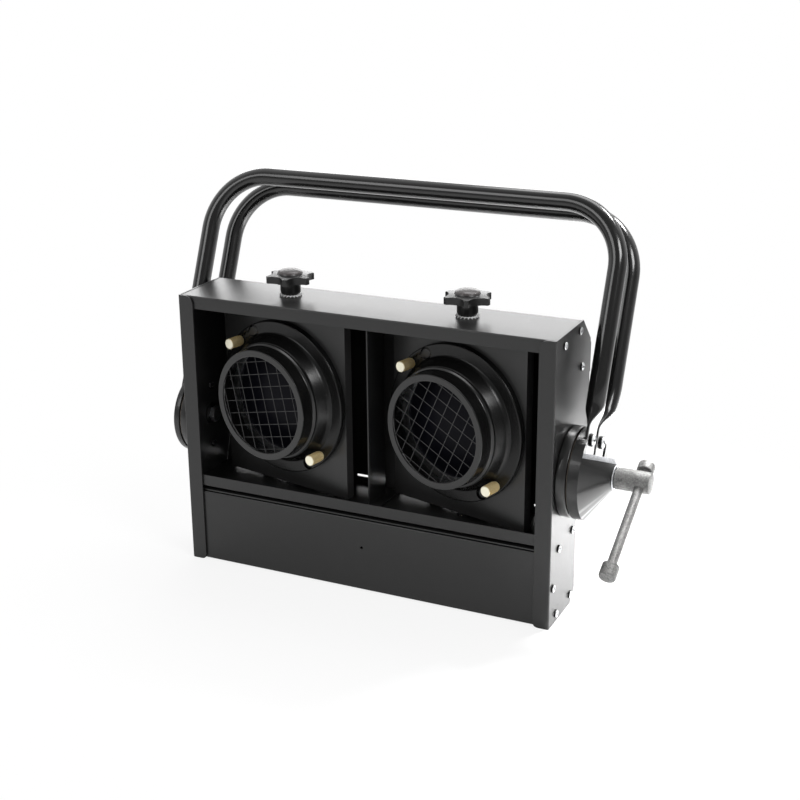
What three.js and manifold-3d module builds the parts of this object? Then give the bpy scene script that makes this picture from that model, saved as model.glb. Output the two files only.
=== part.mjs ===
// Audience blinder light: two sealed-beam lamps in a folded sheet housing on a double tube yoke.
// Millimetres, +Z up, +X to the right as seen from the front, +Y to the back.
// The origin lies at the centre of the flat face that the housing stands on.
import * as THREE from "three";
import { mergeVertices } from "three/addons/utils/BufferGeometryUtils.js";
import Module from "manifold-3d";

const wasm = await Module();
wasm.setup();

// Gaps and cutters
const touchGap = 0.3; // between pieces that lie face to face
const runningGap = 0.4; // round a shaft in its hole, measured on the radius
const overrun = 3; // how far a cutter reaches past what it cuts
const weldTolerance = 1e-4; // points closer than this are one point

// Facets of round pieces
const largeSides = 32;
const middleSides = 24;
const smallSides = 12;
const tubeSides = 12;
const hexSides = 6;

// Housing of folded steel sheet
const housing = {
  width: 402.4,
  height: 290,
  topDepth: 77,
  depth: 100.5,
  chamferDrop: 24,
  rearBendDrop: 115,
  lowerBendShare: 84 / 290,
  lowerDepth: 74.5,
  footRise: 12,
  footDepth: 63,
  wall: 2,
  sheet: 1.5,
  lipWidth: 16.5,
  lipTopRadius: 10,
  lipFootRadius: 6,
  flangeDepth: 14,
};
const rearBend = housing.height - housing.rearBendDrop;
const lowerBend = housing.height * housing.lowerBendShare; // height of the shelf and of the lower bend
const outerX = housing.width / 2;
const innerX = outerX - housing.wall;
const coverX = innerX - touchGap; // half width of every piece between the side plates
const frontY = housing.wall + touchGap; // front face of every piece behind the side lips
const flangeX = coverX - housing.sheet;

// Tilt axis of the yoke, and how far the yoke leans back in the photograph
const tilt = { y: 48, drop: 142, lean: 23.4 };
const tiltHeight = housing.height - tilt.drop;

const topCover = { drop: 0.3, lipHeight: 13.2, flapDrop: 58, flapHeight: 30, flangeFront: 14 };
const flapBottom = housing.height - topCover.flapDrop;
const coverTop = housing.height - topCover.drop;
const coverUnderside = coverTop - housing.sheet;

const rearPanel = { topDrop: 27, bottom: 13 };
const vent = { rise: 8, opening: 2.2, land: 17.35, count: 8 };
const ventPitch = (2 * flangeX) / vent.count;

const shelf = { barHeight: 12.4, backGap: 0.6, flangeDrop: 14, flangeFront: 14 };
const shelfTop = lowerBend + housing.sheet;
const shelfBack = housing.lowerDepth - housing.sheet - shelf.backGap;
const leadHole = { radius: 7, x: 46, y: 62 };

const frontPanel = { bottom: 2, groove: 6, returnDepth: 10, flangeBack: 13, flangeInset: 18 };
const frontPanelTop = lowerBend - frontPanel.groove;
const pilotHole = { radius: 1.5, z: 47.6 };

const bottomCover = { lipHeight: 14, rearLipTop: 24, flangeRise: 16, flangeFront: 15 };
const restCentreY = (frontY + housing.sheet + touchGap + housing.footDepth) / 2;

const divider = { thickness: 1.5, front: 21, back: 58, tab: 12 };

// Pan axes of the two lamps, and their pan in the photograph
const pan = { inset: 3.075, y: 44.5, leftAngle: -12, rightAngle: -14.5 };
const bayHalf = (flangeX - divider.thickness / 2) / 2;
const panX = divider.thickness / 2 + bayHalf - pan.inset;

// Tilt clutch on the right and pivot on the left
const drum = {
  clutchRadius: 44.5,
  pivotRadius: 42,
  length: 10.5,
  spigotRadius: 11,
  spigotLength: 4,
};
const drumBack = outerX + touchGap;
const drumFace = drumBack + drum.length;
const spindle = {
  radius: 6,
  innerReach: 9.2,
  bossRadius: 10.5,
  bossLength: 33.6,
  bevel: 0.8,
  barPlace: 24.1,
};
const pad = { thickness: 0.9, bore: 15, inset: 1.5 };
const discBack = drumFace + touchGap + pad.thickness + touchGap;
const clutch = {
  discRadius: 45,
  discThickness: 10.7,
  coneLength: 21.8,
  tipRadius: 12.5,
  pocketDepth: 3.9,
  pocketHalfWidth: 32.6,
  flatHeight: 12.6,
  wedgeHeight: 4.8,
  wedgeLength: 21.5,
};
const clutchFace = discBack + clutch.discThickness;
const coneTip = clutchFace + clutch.coneLength;
const armSeat = clutchFace - clutch.pocketDepth; // where the tube ends bear, on both sides
const ledge = clutch.flatHeight + touchGap + clutch.wedgeHeight;
const washer = { thickness: 1.3, radius: 12 };
const bossBack = coneTip + touchGap + washer.thickness + touchGap;
const pivotBolt = { headLength: 5, headRadius: 9, nutLength: 9.5, nutRadius: 11, threadPast: 3 };

// T-bar, seen from the right it points forwards and down
const bar = { radius: 4.5, angle: 61, rise: 18, reach: 110 };
const barCap = { radius: 8, bevel: 1.2, floor: 3 };
const nearCap = { face: 12.4, length: 9.2 };
const farCap = { face: -99.4, length: -14 };

// Yoke of two bent tubes with flattened ends
const yoke = {
  legOffset: 3.4,
  spacing: 49,
  height: 253.7,
  bendRadius: 60,
  tubeRadius: 9.1,
  tubeWall: 1.5,
  bendSteps: 6,
  tabBottom: 18,
  tabTop: 43,
  roundFrom: 88,
  tabHalfWidth: 15.2,
  tabThickness: 2.8,
  tabCentre: 16.6,
  drainRadius: 2.5,
};
const yokeHalfWidth = armSeat + yoke.legOffset;
// From the flat end up to the straight run, as shares: how far up, how far the centre has moved
// over, and how round the section is
const pressStages = [
  { up: 0, over: 0, round: 0 },
  { up: 0.14, over: 0.053, round: 0.19 },
  { up: 0.3, over: 0.216, round: 0.65 },
  { up: 0.5, over: 0.5, round: 1 },
  { up: 0.75, over: 0.84, round: 1 },
  { up: 1, over: 1, round: 1 },
];
const flatWidthShares = [1, 0.93, 0.5, 0, -0.5, -0.93, -1, -0.93, -0.5, 0, 0.5, 0.93]; // of half the width
const tubeBolt = { height: 31.4, spread: 17, headRadius: 6.2, headLength: 3.6, radius: 3.9, length: 8 };

// Lamp module, measured forwards from the pan axis along the lamp's axis
const frame = {
  face: 14,
  sheet: 1.5,
  sideGap: 18.325, // from the frame in the middle of its bay to the walls, room to pan in
  shelfGap: 6.5,
  coverGap: 6.2,
  axisRise: 0.2, // of the lamp's axis over the middle of the frame
  returnDepth: 10,
  rabbet: 2.5, // how far the lamp's rim covers the opening
  flangeBack: 14,
  flangeBackHalf: 22,
  flangeInset: 3,
  nutRadius: 7.5,
  nutLength: 7,
};
const frameHalfWidth = bayHalf - frame.sideGap;
const frameFoot = shelfTop + frame.shelfGap;
const frameHead = coverUnderside - frame.coverGap;
const lampHeight = (frameFoot + frameHead) / 2 + frame.axisRise;
const frameBottom = lampHeight - frameFoot;
const frameTop = frameHead - lampHeight;
const stud = { radius: 4, intoFrame: 17.7, intoKnob: 13.3 };
const studTop = coverTop + stud.intoKnob;

// Radii of the lamp module, each one set in from the ring's edge or from the piece that carries it
const lampRing = {
  edgeGap: 0.4,
  flangeFace: 21,
  sheet: 1.5,
  flangeWidth: 12.2,
  hubFace: 24.1,
  hubStep: 2.5,
  endFace: 34.8,
  neckStep: 4.5,
};
const ringRadius = frameHalfWidth - lampRing.edgeGap;
const hubFootRadius = ringRadius - lampRing.flangeWidth;
const hubRadius = hubFootRadius - lampRing.hubStep;
const endRadius = hubRadius - lampRing.neckStep;
const snout = {
  sleeveBack: 29.5,
  sleeveGap: 0.4,
  wall: 1.5,
  beadHeight: 1.5,
  beadFace: 37,
  throatFace: 38.4,
  throatStep: 0.8,
  face: 52.5,
  taper: 0.5,
  lipWidth: 6.9,
};
const sleeveRadius = endRadius - lampRing.sheet - snout.sleeveGap;
const throatRadius = sleeveRadius - snout.throatStep;
const faceRadius = throatRadius - snout.taper;
const mouthRadius = faceRadius - snout.lipWidth;
const guard = { fit: 0.5, hoopWidth: 2.8, wire: 1.2, pitch: 13, endGap: 3 };
const hoopRadius = faceRadius - snout.wall - guard.fit;
const guardDepth = 2 * guard.wire + touchGap;

// Turn of each guard seen from the front, and how far its wires lie off its middle
const guardPlace = {
  left: { angle: 13, across: 5.3, up: 5.3 },
  right: { angle: -25, across: 1, up: 6 },
};
const clip = { fit: 0.4, width: 2.2, thickness: 1.7, gap: 18 };
const clipRadius = faceRadius - snout.wall - clip.fit;
const gasket = { overhang: 2.5, width: 4.7, thickness: 2.1 };
const lamp = {
  fit: 1.5,
  rim: 5.1,
  rimWidth: 3.6,
  lensRise: 6.5,
  bowlDepth: 42,
  bowlStep: 4.4,
  neckRadius: 13,
  neckLength: 4,
  postRadius: 3.5,
  postSpread: 8,
  postLength: 8,
  glass: 3,
  tipRadius: 3,
};
const lampRadius = sleeveRadius - lamp.fit;
const bowlRadius = lampRadius - lamp.bowlStep;
const frameOpening = lampRadius - frame.rabbet;
const gasketRadius = lampRadius + gasket.overhang;
const bowlRadiusShares = [1, 0.95, 0.83, 0.64, 0.44, 0.25]; // of the bowl's radius, from its mouth back
const bowlDepthShares = [0, 0.2, 0.44, 0.68, 0.87, 1]; // of the bowl's depth
const lensRadiusShares = [0.93, 0.7, 0.38]; // of the lens's radius, from its edge in
const lensRiseShares = [0.2, 0.58, 0.9]; // of the lens's rise
const cavityRadiusShares = [1, 0.83, 0.44]; // of the cavity's radius, from its mouth back
const cavityDepthShares = [0, 0.44, 0.87]; // of the cavity's depth
const retainer = { overhang: 5.6, lip: 2.5, thickness: 1.5 };
const thumbscrew = {
  radius: 5.6,
  length: 17.7,
  bevel: 0.7,
  shank: 2.5,
  shankEnd: 6,
  inset: 6.6,
  angles: [135, -45],
};
const screwCircle = ringRadius - thumbscrew.inset;
const keyhole = { slot: 3, eye: 6, twist: 17, pad: 4.2 };
const bush = { radius: 9 };
const lockWasher = { outer: 11.4, valley: 9.8, thickness: 1.3, teeth: 18 };
const knob = {
  hubRadius: 10.3,
  hubLength: 13,
  starTip: 24.3,
  scallopCircle: 32.4,
  scallopRadius: 14.6,
  starThickness: 8.4,
  domeRadius: 12.6,
  domeRise: 4,
  lobes: 6,
};
// Angles from one tip of the knob towards the next, and how far each knob is turned at rest
const starAngles = [0, 5, 13, 21, 30, 39, 47, 55];
const knobRest = { left: -15, right: -11 };
const domeRadiusShares = [1, 0.86, 0.5];
const domeRiseShares = [0.3, 0.72, 0.96];
const pivotPin = { headRadius: 7, headLength: 2, shank: 3.1, collarRadius: 9, radius: 4, intoFrame: 5 };

// Power inlet
const gland = {
  x: 120,
  z: 44,
  bodyRadius: 9,
  nutRadius: 13,
  nutLength: 5,
  capRadius: 11.5,
  capLength: 13,
  noseRadius: 8,
  noseLength: 4,
  bore: 4.5,
  tail: 6,
};
const terminal = { x: 60, y: 38, length: 74, width: 22, height: 20, poles: 5, screw: 3, depth: 6 };

// Finishes
function finish(colour, roughness, metalness) {
  return () => new THREE.MeshStandardMaterial({ color: colour, roughness, metalness });
}
const satinBlack = finish(0x1b1b1c, 0.42, 0.1);
const glossBlack = finish(0x101011, 0.22, 0.1);
const blackPlastic = finish(0x141414, 0.3, 0);
const zinc = finish(0xb9bcc0, 0.35, 0.9);
const steel = finish(0x8d8b86, 0.5, 0.85);
const brass = finish(0xc79a45, 0.35, 0.9);
const fibre = finish(0x5b5044, 0.9, 0);
const rubber = finish(0x202020, 0.85, 0);
const lampGlass = finish(0x9aa0a6, 0.12, 0.2);
const nylon = finish(0xd8d6cc, 0.6, 0);

// Axes that a flat outline or a turned profile is laid along
const alongX = new THREE.Matrix4().makeBasis(
  new THREE.Vector3(0, 1, 0),
  new THREE.Vector3(0, 0, 1),
  new THREE.Vector3(1, 0, 0),
);
const alongY = new THREE.Matrix4().makeBasis(
  new THREE.Vector3(1, 0, 0),
  new THREE.Vector3(0, 0, 1),
  new THREE.Vector3(0, -1, 0),
);
const turnedX = new THREE.Matrix4().makeBasis(
  new THREE.Vector3(0, 1, 0),
  new THREE.Vector3(1, 0, 0),
  new THREE.Vector3(0, 0, -1),
);
const turnedZ = new THREE.Matrix4().makeBasis(
  new THREE.Vector3(1, 0, 0),
  new THREE.Vector3(0, 0, 1),
  new THREE.Vector3(0, -1, 0),
);
const turnedForward = new THREE.Matrix4().makeBasis(
  new THREE.Vector3(1, 0, 0),
  new THREE.Vector3(0, -1, 0),
  new THREE.Vector3(0, 0, -1),
);
const turnedBack = new THREE.Matrix4().makeBasis(
  new THREE.Vector3(-1, 0, 0),
  new THREE.Vector3(0, 1, 0),
  new THREE.Vector3(0, 0, -1),
);

// A three.js geometry as a manifold solid, its faces turned outwards
function solid(geometry) {
  const bare = geometry.clone();
  bare.deleteAttribute("normal");
  bare.deleteAttribute("uv");
  const merged = mergeVertices(bare, weldTolerance);
  const vertProperties = merged.attributes.position.array;
  const triVerts = new Uint32Array(merged.index.array);
  const made = new wasm.Manifold(new wasm.Mesh({ numProp: 3, vertProperties, triVerts }));
  if (made.volume() > 0) return made;
  for (let i = 0; i < triVerts.length; i += 3) {
    [triVerts[i + 1], triVerts[i + 2]] = [triVerts[i + 2], triVerts[i + 1]];
  }
  return new wasm.Manifold(new wasm.Mesh({ numProp: 3, vertProperties, triVerts }));
}

// The solid as a named three.js mesh with flat facets
function addMesh(parent, name, body, material) {
  const made = body.getMesh();
  const indexed = new THREE.BufferGeometry();
  indexed.setAttribute("position", new THREE.BufferAttribute(made.vertProperties, made.numProp));
  indexed.setIndex(new THREE.BufferAttribute(made.triVerts, 1));
  const geometry = indexed.toNonIndexed();
  geometry.computeVertexNormals();
  const mesh = new THREE.Mesh(geometry, material());
  mesh.name = name;
  parent.add(mesh);
}

function joined(first, ...others) {
  return others.reduce((whole, other) => whole.add(other), first);
}

function without(first, ...cutters) {
  return cutters.reduce((whole, cutter) => whole.subtract(cutter), first);
}

// A box between two corners
function block(low, high) {
  const size = high.map((value, axis) => value - low[axis]);
  const geometry = new THREE.BoxGeometry(...size);
  geometry.translate(...low.map((value, axis) => value + size[axis] / 2));
  return solid(geometry);
}

// An outline in (y, z) drawn out along X
function barAlongX(outline, from, to) {
  const geometry = new THREE.ExtrudeGeometry(outline, { depth: to - from, bevelEnabled: false });
  geometry.applyMatrix4(alongX);
  geometry.translate(from, 0, 0);
  return solid(geometry);
}

// An outline in (x, z) drawn out along Y
function plateAlongY(outline, from, to, sides = middleSides) {
  const shape = { depth: to - from, bevelEnabled: false, curveSegments: Math.ceil(sides / 4) };
  const geometry = new THREE.ExtrudeGeometry(outline, shape);
  geometry.applyMatrix4(alongY);
  geometry.translate(0, to, 0);
  return solid(geometry);
}

// An outline in (x, y) drawn out along Z
function plateAlongZ(outline, from, to) {
  const geometry = new THREE.ExtrudeGeometry(outline, { depth: to - from, bevelEnabled: false });
  geometry.translate(0, 0, from);
  return solid(geometry);
}

function outlineOf(points) {
  return new THREE.Shape(points.map(([a, b]) => new THREE.Vector2(a, b)));
}

// A profile of [radius, place along the axis] turned round the axis
function turned(profile, direction, sides) {
  const points = profile.map(([radius, place]) => new THREE.Vector2(radius, place));
  const geometry = new THREE.LatheGeometry(points, sides);
  geometry.applyMatrix4(direction);
  return solid(geometry);
}

function rod(radius, from, to, direction, sides = smallSides) {
  const profile = [
    [0, from],
    [radius, from],
    [radius, to],
    [0, to],
  ];
  return turned(profile, direction, sides);
}

function ring(bore, radius, from, to, direction, sides) {
  const profile = [
    [bore, from],
    [radius, from],
    [radius, to],
    [bore, to],
    [bore, from],
  ];
  return turned(profile, direction, sides);
}

// The outline of bent sheet: a line of points and the same line moved to its left by the thickness
function bentOutline(points, thickness) {
  const path = points.map(([a, b]) => new THREE.Vector2(a, b));
  const moved = path.map((point, i) => {
    const before = i > 0 ? point.clone().sub(path[i - 1]).normalize() : null;
    const after = i < path.length - 1 ? path[i + 1].clone().sub(point).normalize() : null;
    const into = before ?? after;
    const out = after ?? before;
    const normal = new THREE.Vector2(-into.y - out.y, into.x + out.x).normalize();
    const stretch = normal.dot(new THREE.Vector2(-into.y, into.x));
    return point.clone().addScaledVector(normal, thickness / stretch);
  });
  return new THREE.Shape([...path, ...moved.reverse()]);
}

function radians(degrees) {
  return THREE.MathUtils.degToRad(degrees);
}

const light = new THREE.Group();
light.position.y = -restCentreY;

const tiltGroup = new THREE.Group();
tiltGroup.position.set(0, tilt.y, tiltHeight);
light.add(tiltGroup);

const yokeGroup = new THREE.Group();
yokeGroup.rotation.x = -radians(tilt.lean);
tiltGroup.add(yokeGroup);

const barGroup = new THREE.Group();
barGroup.position.x = bossBack + spindle.barPlace;
barGroup.rotation.x = -radians(bar.angle);
tiltGroup.add(barGroup);

// A round hole through the housing's walls, along X on the tilt axis
function tiltBore(radius, from, to) {
  return rod(radius, from, to, turnedX, middleSides).translate(0, tilt.y, tiltHeight);
}

// A side plate: the wall, cut to the housing's profile, and its front lip
function sidePlate(side) {
  const profile = outlineOf([
    [0, 0],
    [housing.footDepth, 0],
    [housing.lowerDepth, housing.footRise],
    [housing.lowerDepth, lowerBend],
    [housing.depth, rearBend],
    [housing.depth, housing.height - housing.chamferDrop],
    [housing.topDepth, housing.height],
    [0, housing.height],
  ]);
  const low = Math.min(side * innerX, side * outerX);
  const wall = barAlongX(profile, low, low + housing.wall);
  const edge = side * outerX;
  const inner = side * (outerX - housing.lipWidth);
  const lip = new THREE.Shape();
  lip.moveTo(edge, 0);
  lip.lineTo(inner + side * housing.lipFootRadius, 0);
  lip.quadraticCurveTo(inner, 0, inner, housing.lipFootRadius);
  lip.lineTo(inner, housing.height - housing.lipTopRadius);
  lip.quadraticCurveTo(inner, housing.height, inner + side * housing.lipTopRadius, housing.height);
  lip.lineTo(edge, housing.height);
  lip.closePath();
  const hole = tiltBore(drum.spigotRadius + runningGap, low - overrun, low + housing.wall + overrun);
  return without(joined(wall, plateAlongY(lip, 0, housing.wall)), hole);
}

// Side flanges that the side screws hold
function sideFlanges(front, back, bottom, top) {
  return [-1, 1].map((side) => {
    const low = Math.min(side * flangeX, side * coverX);
    return block([low, front, bottom], [low + housing.sheet, back, top]);
  });
}

function makeTopCover() {
  const flapY = housing.depth + touchGap + housing.sheet;
  const rise = (housing.chamferDrop / (housing.depth - housing.topDepth)) * (flapY - housing.topDepth);
  const line = [
    [flapY, flapBottom],
    [flapY, coverTop - rise],
    [housing.topDepth, coverTop],
    [frontY, coverTop],
    [frontY, coverTop - topCover.lipHeight],
  ];
  const bent = barAlongX(bentOutline(line, housing.sheet), -coverX, coverX);
  const flap = block(
    [-outerX, flapY - housing.sheet, flapBottom],
    [outerX, flapY, flapBottom + topCover.flapHeight],
  );
  const flanges = sideFlanges(
    topCover.flangeFront,
    housing.topDepth - housing.sheet,
    coverTop - housing.flangeDepth,
    coverUnderside + housing.sheet / 2,
  );
  const holes = [-panX, panX].map((x) =>
    rod(stud.radius + runningGap, coverUnderside - overrun, coverTop + overrun, turnedZ).translate(
      x,
      pan.y,
      0,
    ),
  );
  return without(joined(bent, flap, ...flanges), ...holes);
}

// Cutters for the row of level vent slots in the rear panel
function ventCutters() {
  const first = (-(vent.count - 1) / 2) * ventPitch;
  const half = (ventPitch - vent.land) / 2;
  const bottom = lowerBend + vent.rise;
  return Array.from({ length: vent.count }, (_, i) => {
    const x = first + i * ventPitch;
    return block(
      [x - half, housing.lowerDepth - overrun, bottom],
      [x + half, housing.depth, bottom + vent.opening],
    );
  });
}

function makeRearPanel() {
  const line = [
    [housing.lowerDepth, rearPanel.bottom],
    [housing.lowerDepth, lowerBend],
    [housing.depth, rearBend],
    [housing.depth, housing.height - rearPanel.topDrop],
  ];
  const bent = barAlongX(bentOutline(line, housing.sheet), -coverX, coverX);
  const glandHole = rod(
    gland.bodyRadius + runningGap,
    housing.lowerDepth - housing.sheet - overrun,
    housing.lowerDepth + overrun,
    turnedBack,
    middleSides,
  ).translate(gland.x, 0, gland.z);
  return without(bent, ...ventCutters(), glandHole);
}

function makeShelf() {
  const line = [
    [frontY, lowerBend + shelf.barHeight],
    [frontY, lowerBend],
    [shelfBack, lowerBend],
  ];
  const bent = barAlongX(bentOutline(line, housing.sheet), -coverX, coverX);
  const flanges = sideFlanges(
    shelf.flangeFront,
    shelfBack - housing.sheet,
    lowerBend - shelf.flangeDrop,
    lowerBend + housing.sheet / 2,
  );
  const holes = [-1, 1].flatMap((side) => [
    rod(
      pivotPin.shank + touchGap,
      lowerBend - overrun,
      shelfTop + overrun,
      turnedZ,
    ).translate(side * panX, pan.y, 0),
    rod(leadHole.radius, lowerBend - overrun, shelfTop + overrun, turnedZ).translate(
      side * leadHole.x,
      leadHole.y,
      0,
    ),
  ]);
  return without(joined(bent, ...flanges), ...holes);
}

function makeFrontPanel() {
  const back = frontY + housing.sheet;
  const face = block([-coverX, frontY, frontPanel.bottom], [coverX, back, frontPanelTop]);
  const fold = block(
    [-coverX, frontY, frontPanelTop - housing.sheet],
    [coverX, back + frontPanel.returnDepth, frontPanelTop],
  );
  const flanges = sideFlanges(
    frontY,
    frontPanel.flangeBack,
    frontPanel.flangeInset,
    frontPanelTop - housing.sheet / 2,
  );
  const hole = rod(pilotHole.radius, -back - overrun, -frontY + overrun, turnedForward);
  return without(joined(face, fold, ...flanges), hole.translate(0, 0, pilotHole.z));
}

function makeBottomCover() {
  const front = frontY + housing.sheet + touchGap;
  const rear = housing.lowerDepth - housing.sheet - touchGap;
  const slope = housing.footRise / (housing.lowerDepth - housing.footDepth);
  const line = [
    [front, bottomCover.lipHeight],
    [front, 0],
    [housing.footDepth, 0],
    [rear, (rear - housing.footDepth) * slope],
    [rear, bottomCover.rearLipTop],
  ];
  const bent = barAlongX(bentOutline(line, housing.sheet), -coverX, coverX);
  const flanges = sideFlanges(
    bottomCover.flangeFront,
    housing.footDepth - housing.sheet,
    housing.sheet / 2,
    bottomCover.flangeRise,
  );
  return joined(bent, ...flanges);
}

function makeDivider() {
  const bottom = shelfTop + touchGap;
  const top = coverUnderside - touchGap;
  const half = divider.thickness / 2;
  const web = block([-half, divider.front, bottom], [half, divider.back, top]);
  const foot = block(
    [-half, divider.front, bottom],
    [divider.tab, divider.back, bottom + divider.thickness],
  );
  const head = block([-half, divider.front, top - divider.thickness], [divider.tab, divider.back, top]);
  return joined(web, foot, head);
}

// The fixed drum, with the spigot through the side plate that carries the spindle or the pivot bolt
function makeDrum(radius) {
  const bore = spindle.radius + runningGap;
  const profile = [
    [radius, drumBack],
    [radius, drumFace],
    [bore, drumFace],
    [bore, drumBack - drum.spigotLength],
    [drum.spigotRadius, drumBack - drum.spigotLength],
    [drum.spigotRadius, drumBack],
    [radius, drumBack],
  ];
  return turned(profile, turnedX, largeSides);
}

function makePad(radius) {
  const back = drumFace + touchGap;
  return ring(pad.bore, radius - pad.inset, back, back + pad.thickness, turnedX, middleSides);
}

// Cutters for the holes of the two bolts that hold the tube ends, in the yoke's own frame
function tubeBoltHoles(from, to) {
  return [-1, 1].map((side) =>
    rod(tubeBolt.radius + runningGap, from, to, turnedX).translate(
      0,
      side * tubeBolt.spread,
      tubeBolt.height,
    ),
  );
}

function coneBody() {
  const bore = spindle.radius + runningGap;
  const profile = [
    [bore, discBack],
    [clutch.discRadius, discBack],
    [clutch.discRadius, clutchFace],
    [clutch.tipRadius, coneTip],
    [bore, coneTip],
    [bore, discBack],
  ];
  return turned(profile, turnedX, largeSides);
}

function makeClutchCone() {
  const reach = clutch.discRadius + overrun;
  const flat = block([clutchFace, -reach, clutch.flatHeight], [coneTip + overrun, reach, reach]);
  const pocket = block(
    [armSeat - touchGap, -clutch.pocketHalfWidth, ledge],
    [clutchFace + overrun, clutch.pocketHalfWidth, reach],
  );
  const holes = tubeBoltHoles(discBack - overrun, clutchFace + overrun);
  return without(coneBody(), flat, pocket, ...holes);
}

// The wedge that fills the cone out under the tube ends
function makeArmWedge() {
  const reach = clutch.discRadius + overrun;
  const bottom = clutch.flatHeight + touchGap;
  const slab = block(
    [clutchFace + touchGap, -reach, bottom],
    [clutchFace + clutch.wedgeLength, reach, bottom + clutch.wedgeHeight],
  );
  return coneBody().intersect(slab);
}

function makePivotDisc() {
  const bore = spindle.radius + runningGap;
  const face = armSeat - touchGap;
  const disc = ring(bore, drum.pivotRadius, discBack, face, turnedX, largeSides);
  return without(disc, ...tubeBoltHoles(discBack - overrun, face + overrun));
}

// A bolt that holds one tube end, its head outside
function makeTubeBolt() {
  const head = armSeat + yoke.tabThickness + touchGap;
  const profile = [
    [0, head - tubeBolt.length],
    [tubeBolt.radius, head - tubeBolt.length],
    [tubeBolt.radius, head],
    [tubeBolt.headRadius, head],
    [tubeBolt.headRadius, head + tubeBolt.headLength / 2],
    [tubeBolt.radius, head + tubeBolt.headLength],
    [0, head + tubeBolt.headLength],
  ];
  return turned(profile, turnedX, smallSides);
}

// The sections of one yoke tube from end to end: place across, height, width, thickness, centre and
// direction of each, so that the flat ends and the round run share one skin
function tubeSections(shrink, fromHeight) {
  const sections = [];
  const tabX = armSeat + yoke.tabThickness / 2;
  sections.push({ over: 0, round: 0, height: yoke.tabBottom });
  for (const { up, over, round } of pressStages) {
    sections.push({ over, round, height: yoke.tabTop + (yoke.roundFrom - yoke.tabTop) * up });
  }
  const leg = sections
    .filter((section) => section.height >= fromHeight)
    .map(({ over, round, height }) => ({
      over,
      round,
      x: tabX + (yokeHalfWidth - tabX) * over,
      z: height,
      across: new THREE.Vector2(1, 0),
    }));
  const centreX = yokeHalfWidth - yoke.bendRadius;
  const centreZ = yoke.height - yoke.bendRadius;
  for (let step = 0; step <= yoke.bendSteps; step += 1) {
    const angle = (Math.PI / 2) * (step / yoke.bendSteps);
    const across = new THREE.Vector2(Math.cos(angle), Math.sin(angle));
    leg.push({
      over: 1,
      round: 1,
      x: centreX + yoke.bendRadius * across.x,
      z: centreZ + yoke.bendRadius * across.y,
      across,
    });
  }
  const other = leg
    .map((section) => ({
      ...section,
      x: -section.x,
      across: new THREE.Vector2(-section.across.x, section.across.y),
    }))
    .reverse();
  return [...leg, ...other].map((section) => ({ ...section, shrink }));
}

// The ring of points of one section: a circle that goes over into a flat strip
function sectionPoints(section, side) {
  const { over, round, shrink } = section;
  const radius = yoke.tubeRadius - shrink;
  const halfWidth = yoke.tabHalfWidth - shrink;
  const halfThickness = yoke.tabThickness / 2;
  const centre = yoke.tabCentre + (yoke.spacing / 2 - yoke.tabCentre) * over;
  return Array.from({ length: tubeSides }, (_, i) => {
    const turn = (i / tubeSides) * 2 * Math.PI;
    const flatUp = Math.sign(Math.round(Math.sin(turn) * tubeSides)) * halfThickness;
    const wide = halfWidth * flatWidthShares[i] * (1 - round) + radius * Math.cos(turn) * round;
    const thick = flatUp * (1 - round) + radius * Math.sin(turn) * round;
    return new THREE.Vector3(
      section.x + section.across.x * thick,
      side * centre + wide,
      section.z + section.across.y * thick,
    );
  });
}

// A closed skin over a row of sections
function loft(sections, side) {
  const positions = [];
  const index = [];
  for (const section of sections) {
    for (const point of sectionPoints(section, side)) positions.push(...point.toArray());
  }
  for (let row = 0; row < sections.length - 1; row += 1) {
    for (let i = 0; i < tubeSides; i += 1) {
      const next = (i + 1) % tubeSides;
      const a = row * tubeSides;
      const b = a + tubeSides;
      index.push(a + i, b + i, a + next, a + next, b + i, b + next);
    }
  }
  const last = (sections.length - 1) * tubeSides;
  for (let i = 1; i < tubeSides - 1; i += 1) {
    index.push(0, i, i + 1, last, last + i + 1, last + i);
  }
  const geometry = new THREE.BufferGeometry();
  geometry.setAttribute("position", new THREE.Float32BufferAttribute(positions, 3));
  geometry.setIndex(index);
  return solid(geometry);
}

// One yoke tube: the front one has side -1, the rear one side 1
function makeYokeTube(side) {
  const skin = loft(tubeSections(0, yoke.tabBottom), side);
  const bore = loft(tubeSections(yoke.tubeWall, yoke.roundFrom), side);
  const drains = [-1, 1].map((end) =>
    rod(yoke.drainRadius, 0, yoke.tubeRadius + overrun, turnedBack).translate(
      end * yokeHalfWidth,
      (side * yoke.spacing) / 2,
      yoke.roundFrom + yoke.tubeRadius,
    ),
  );
  const tabOut = armSeat + yoke.tabThickness + overrun;
  const holes = [
    ...tubeBoltHoles(armSeat - overrun, tabOut),
    ...tubeBoltHoles(-tabOut, -armSeat + overrun),
  ];
  return without(skin, bore, ...drains, ...holes);
}

// Threaded spindle with the boss that the T-bar slides through
function makeSpindle() {
  const end = bossBack + spindle.bossLength;
  const profile = [
    [0, innerX - spindle.innerReach],
    [spindle.radius, innerX - spindle.innerReach],
    [spindle.radius, bossBack],
    [spindle.bossRadius, bossBack],
    [spindle.bossRadius, end - spindle.bevel],
    [spindle.bossRadius - spindle.bevel, end],
    [0, end],
  ];
  const reach = spindle.bossRadius + overrun;
  const hole = rod(bar.radius + runningGap, -reach, reach, turnedZ)
    .rotate([-bar.angle, 0, 0])
    .translate(bossBack + spindle.barPlace, 0, 0);
  return without(turned(profile, turnedX, middleSides), hole);
}

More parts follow.
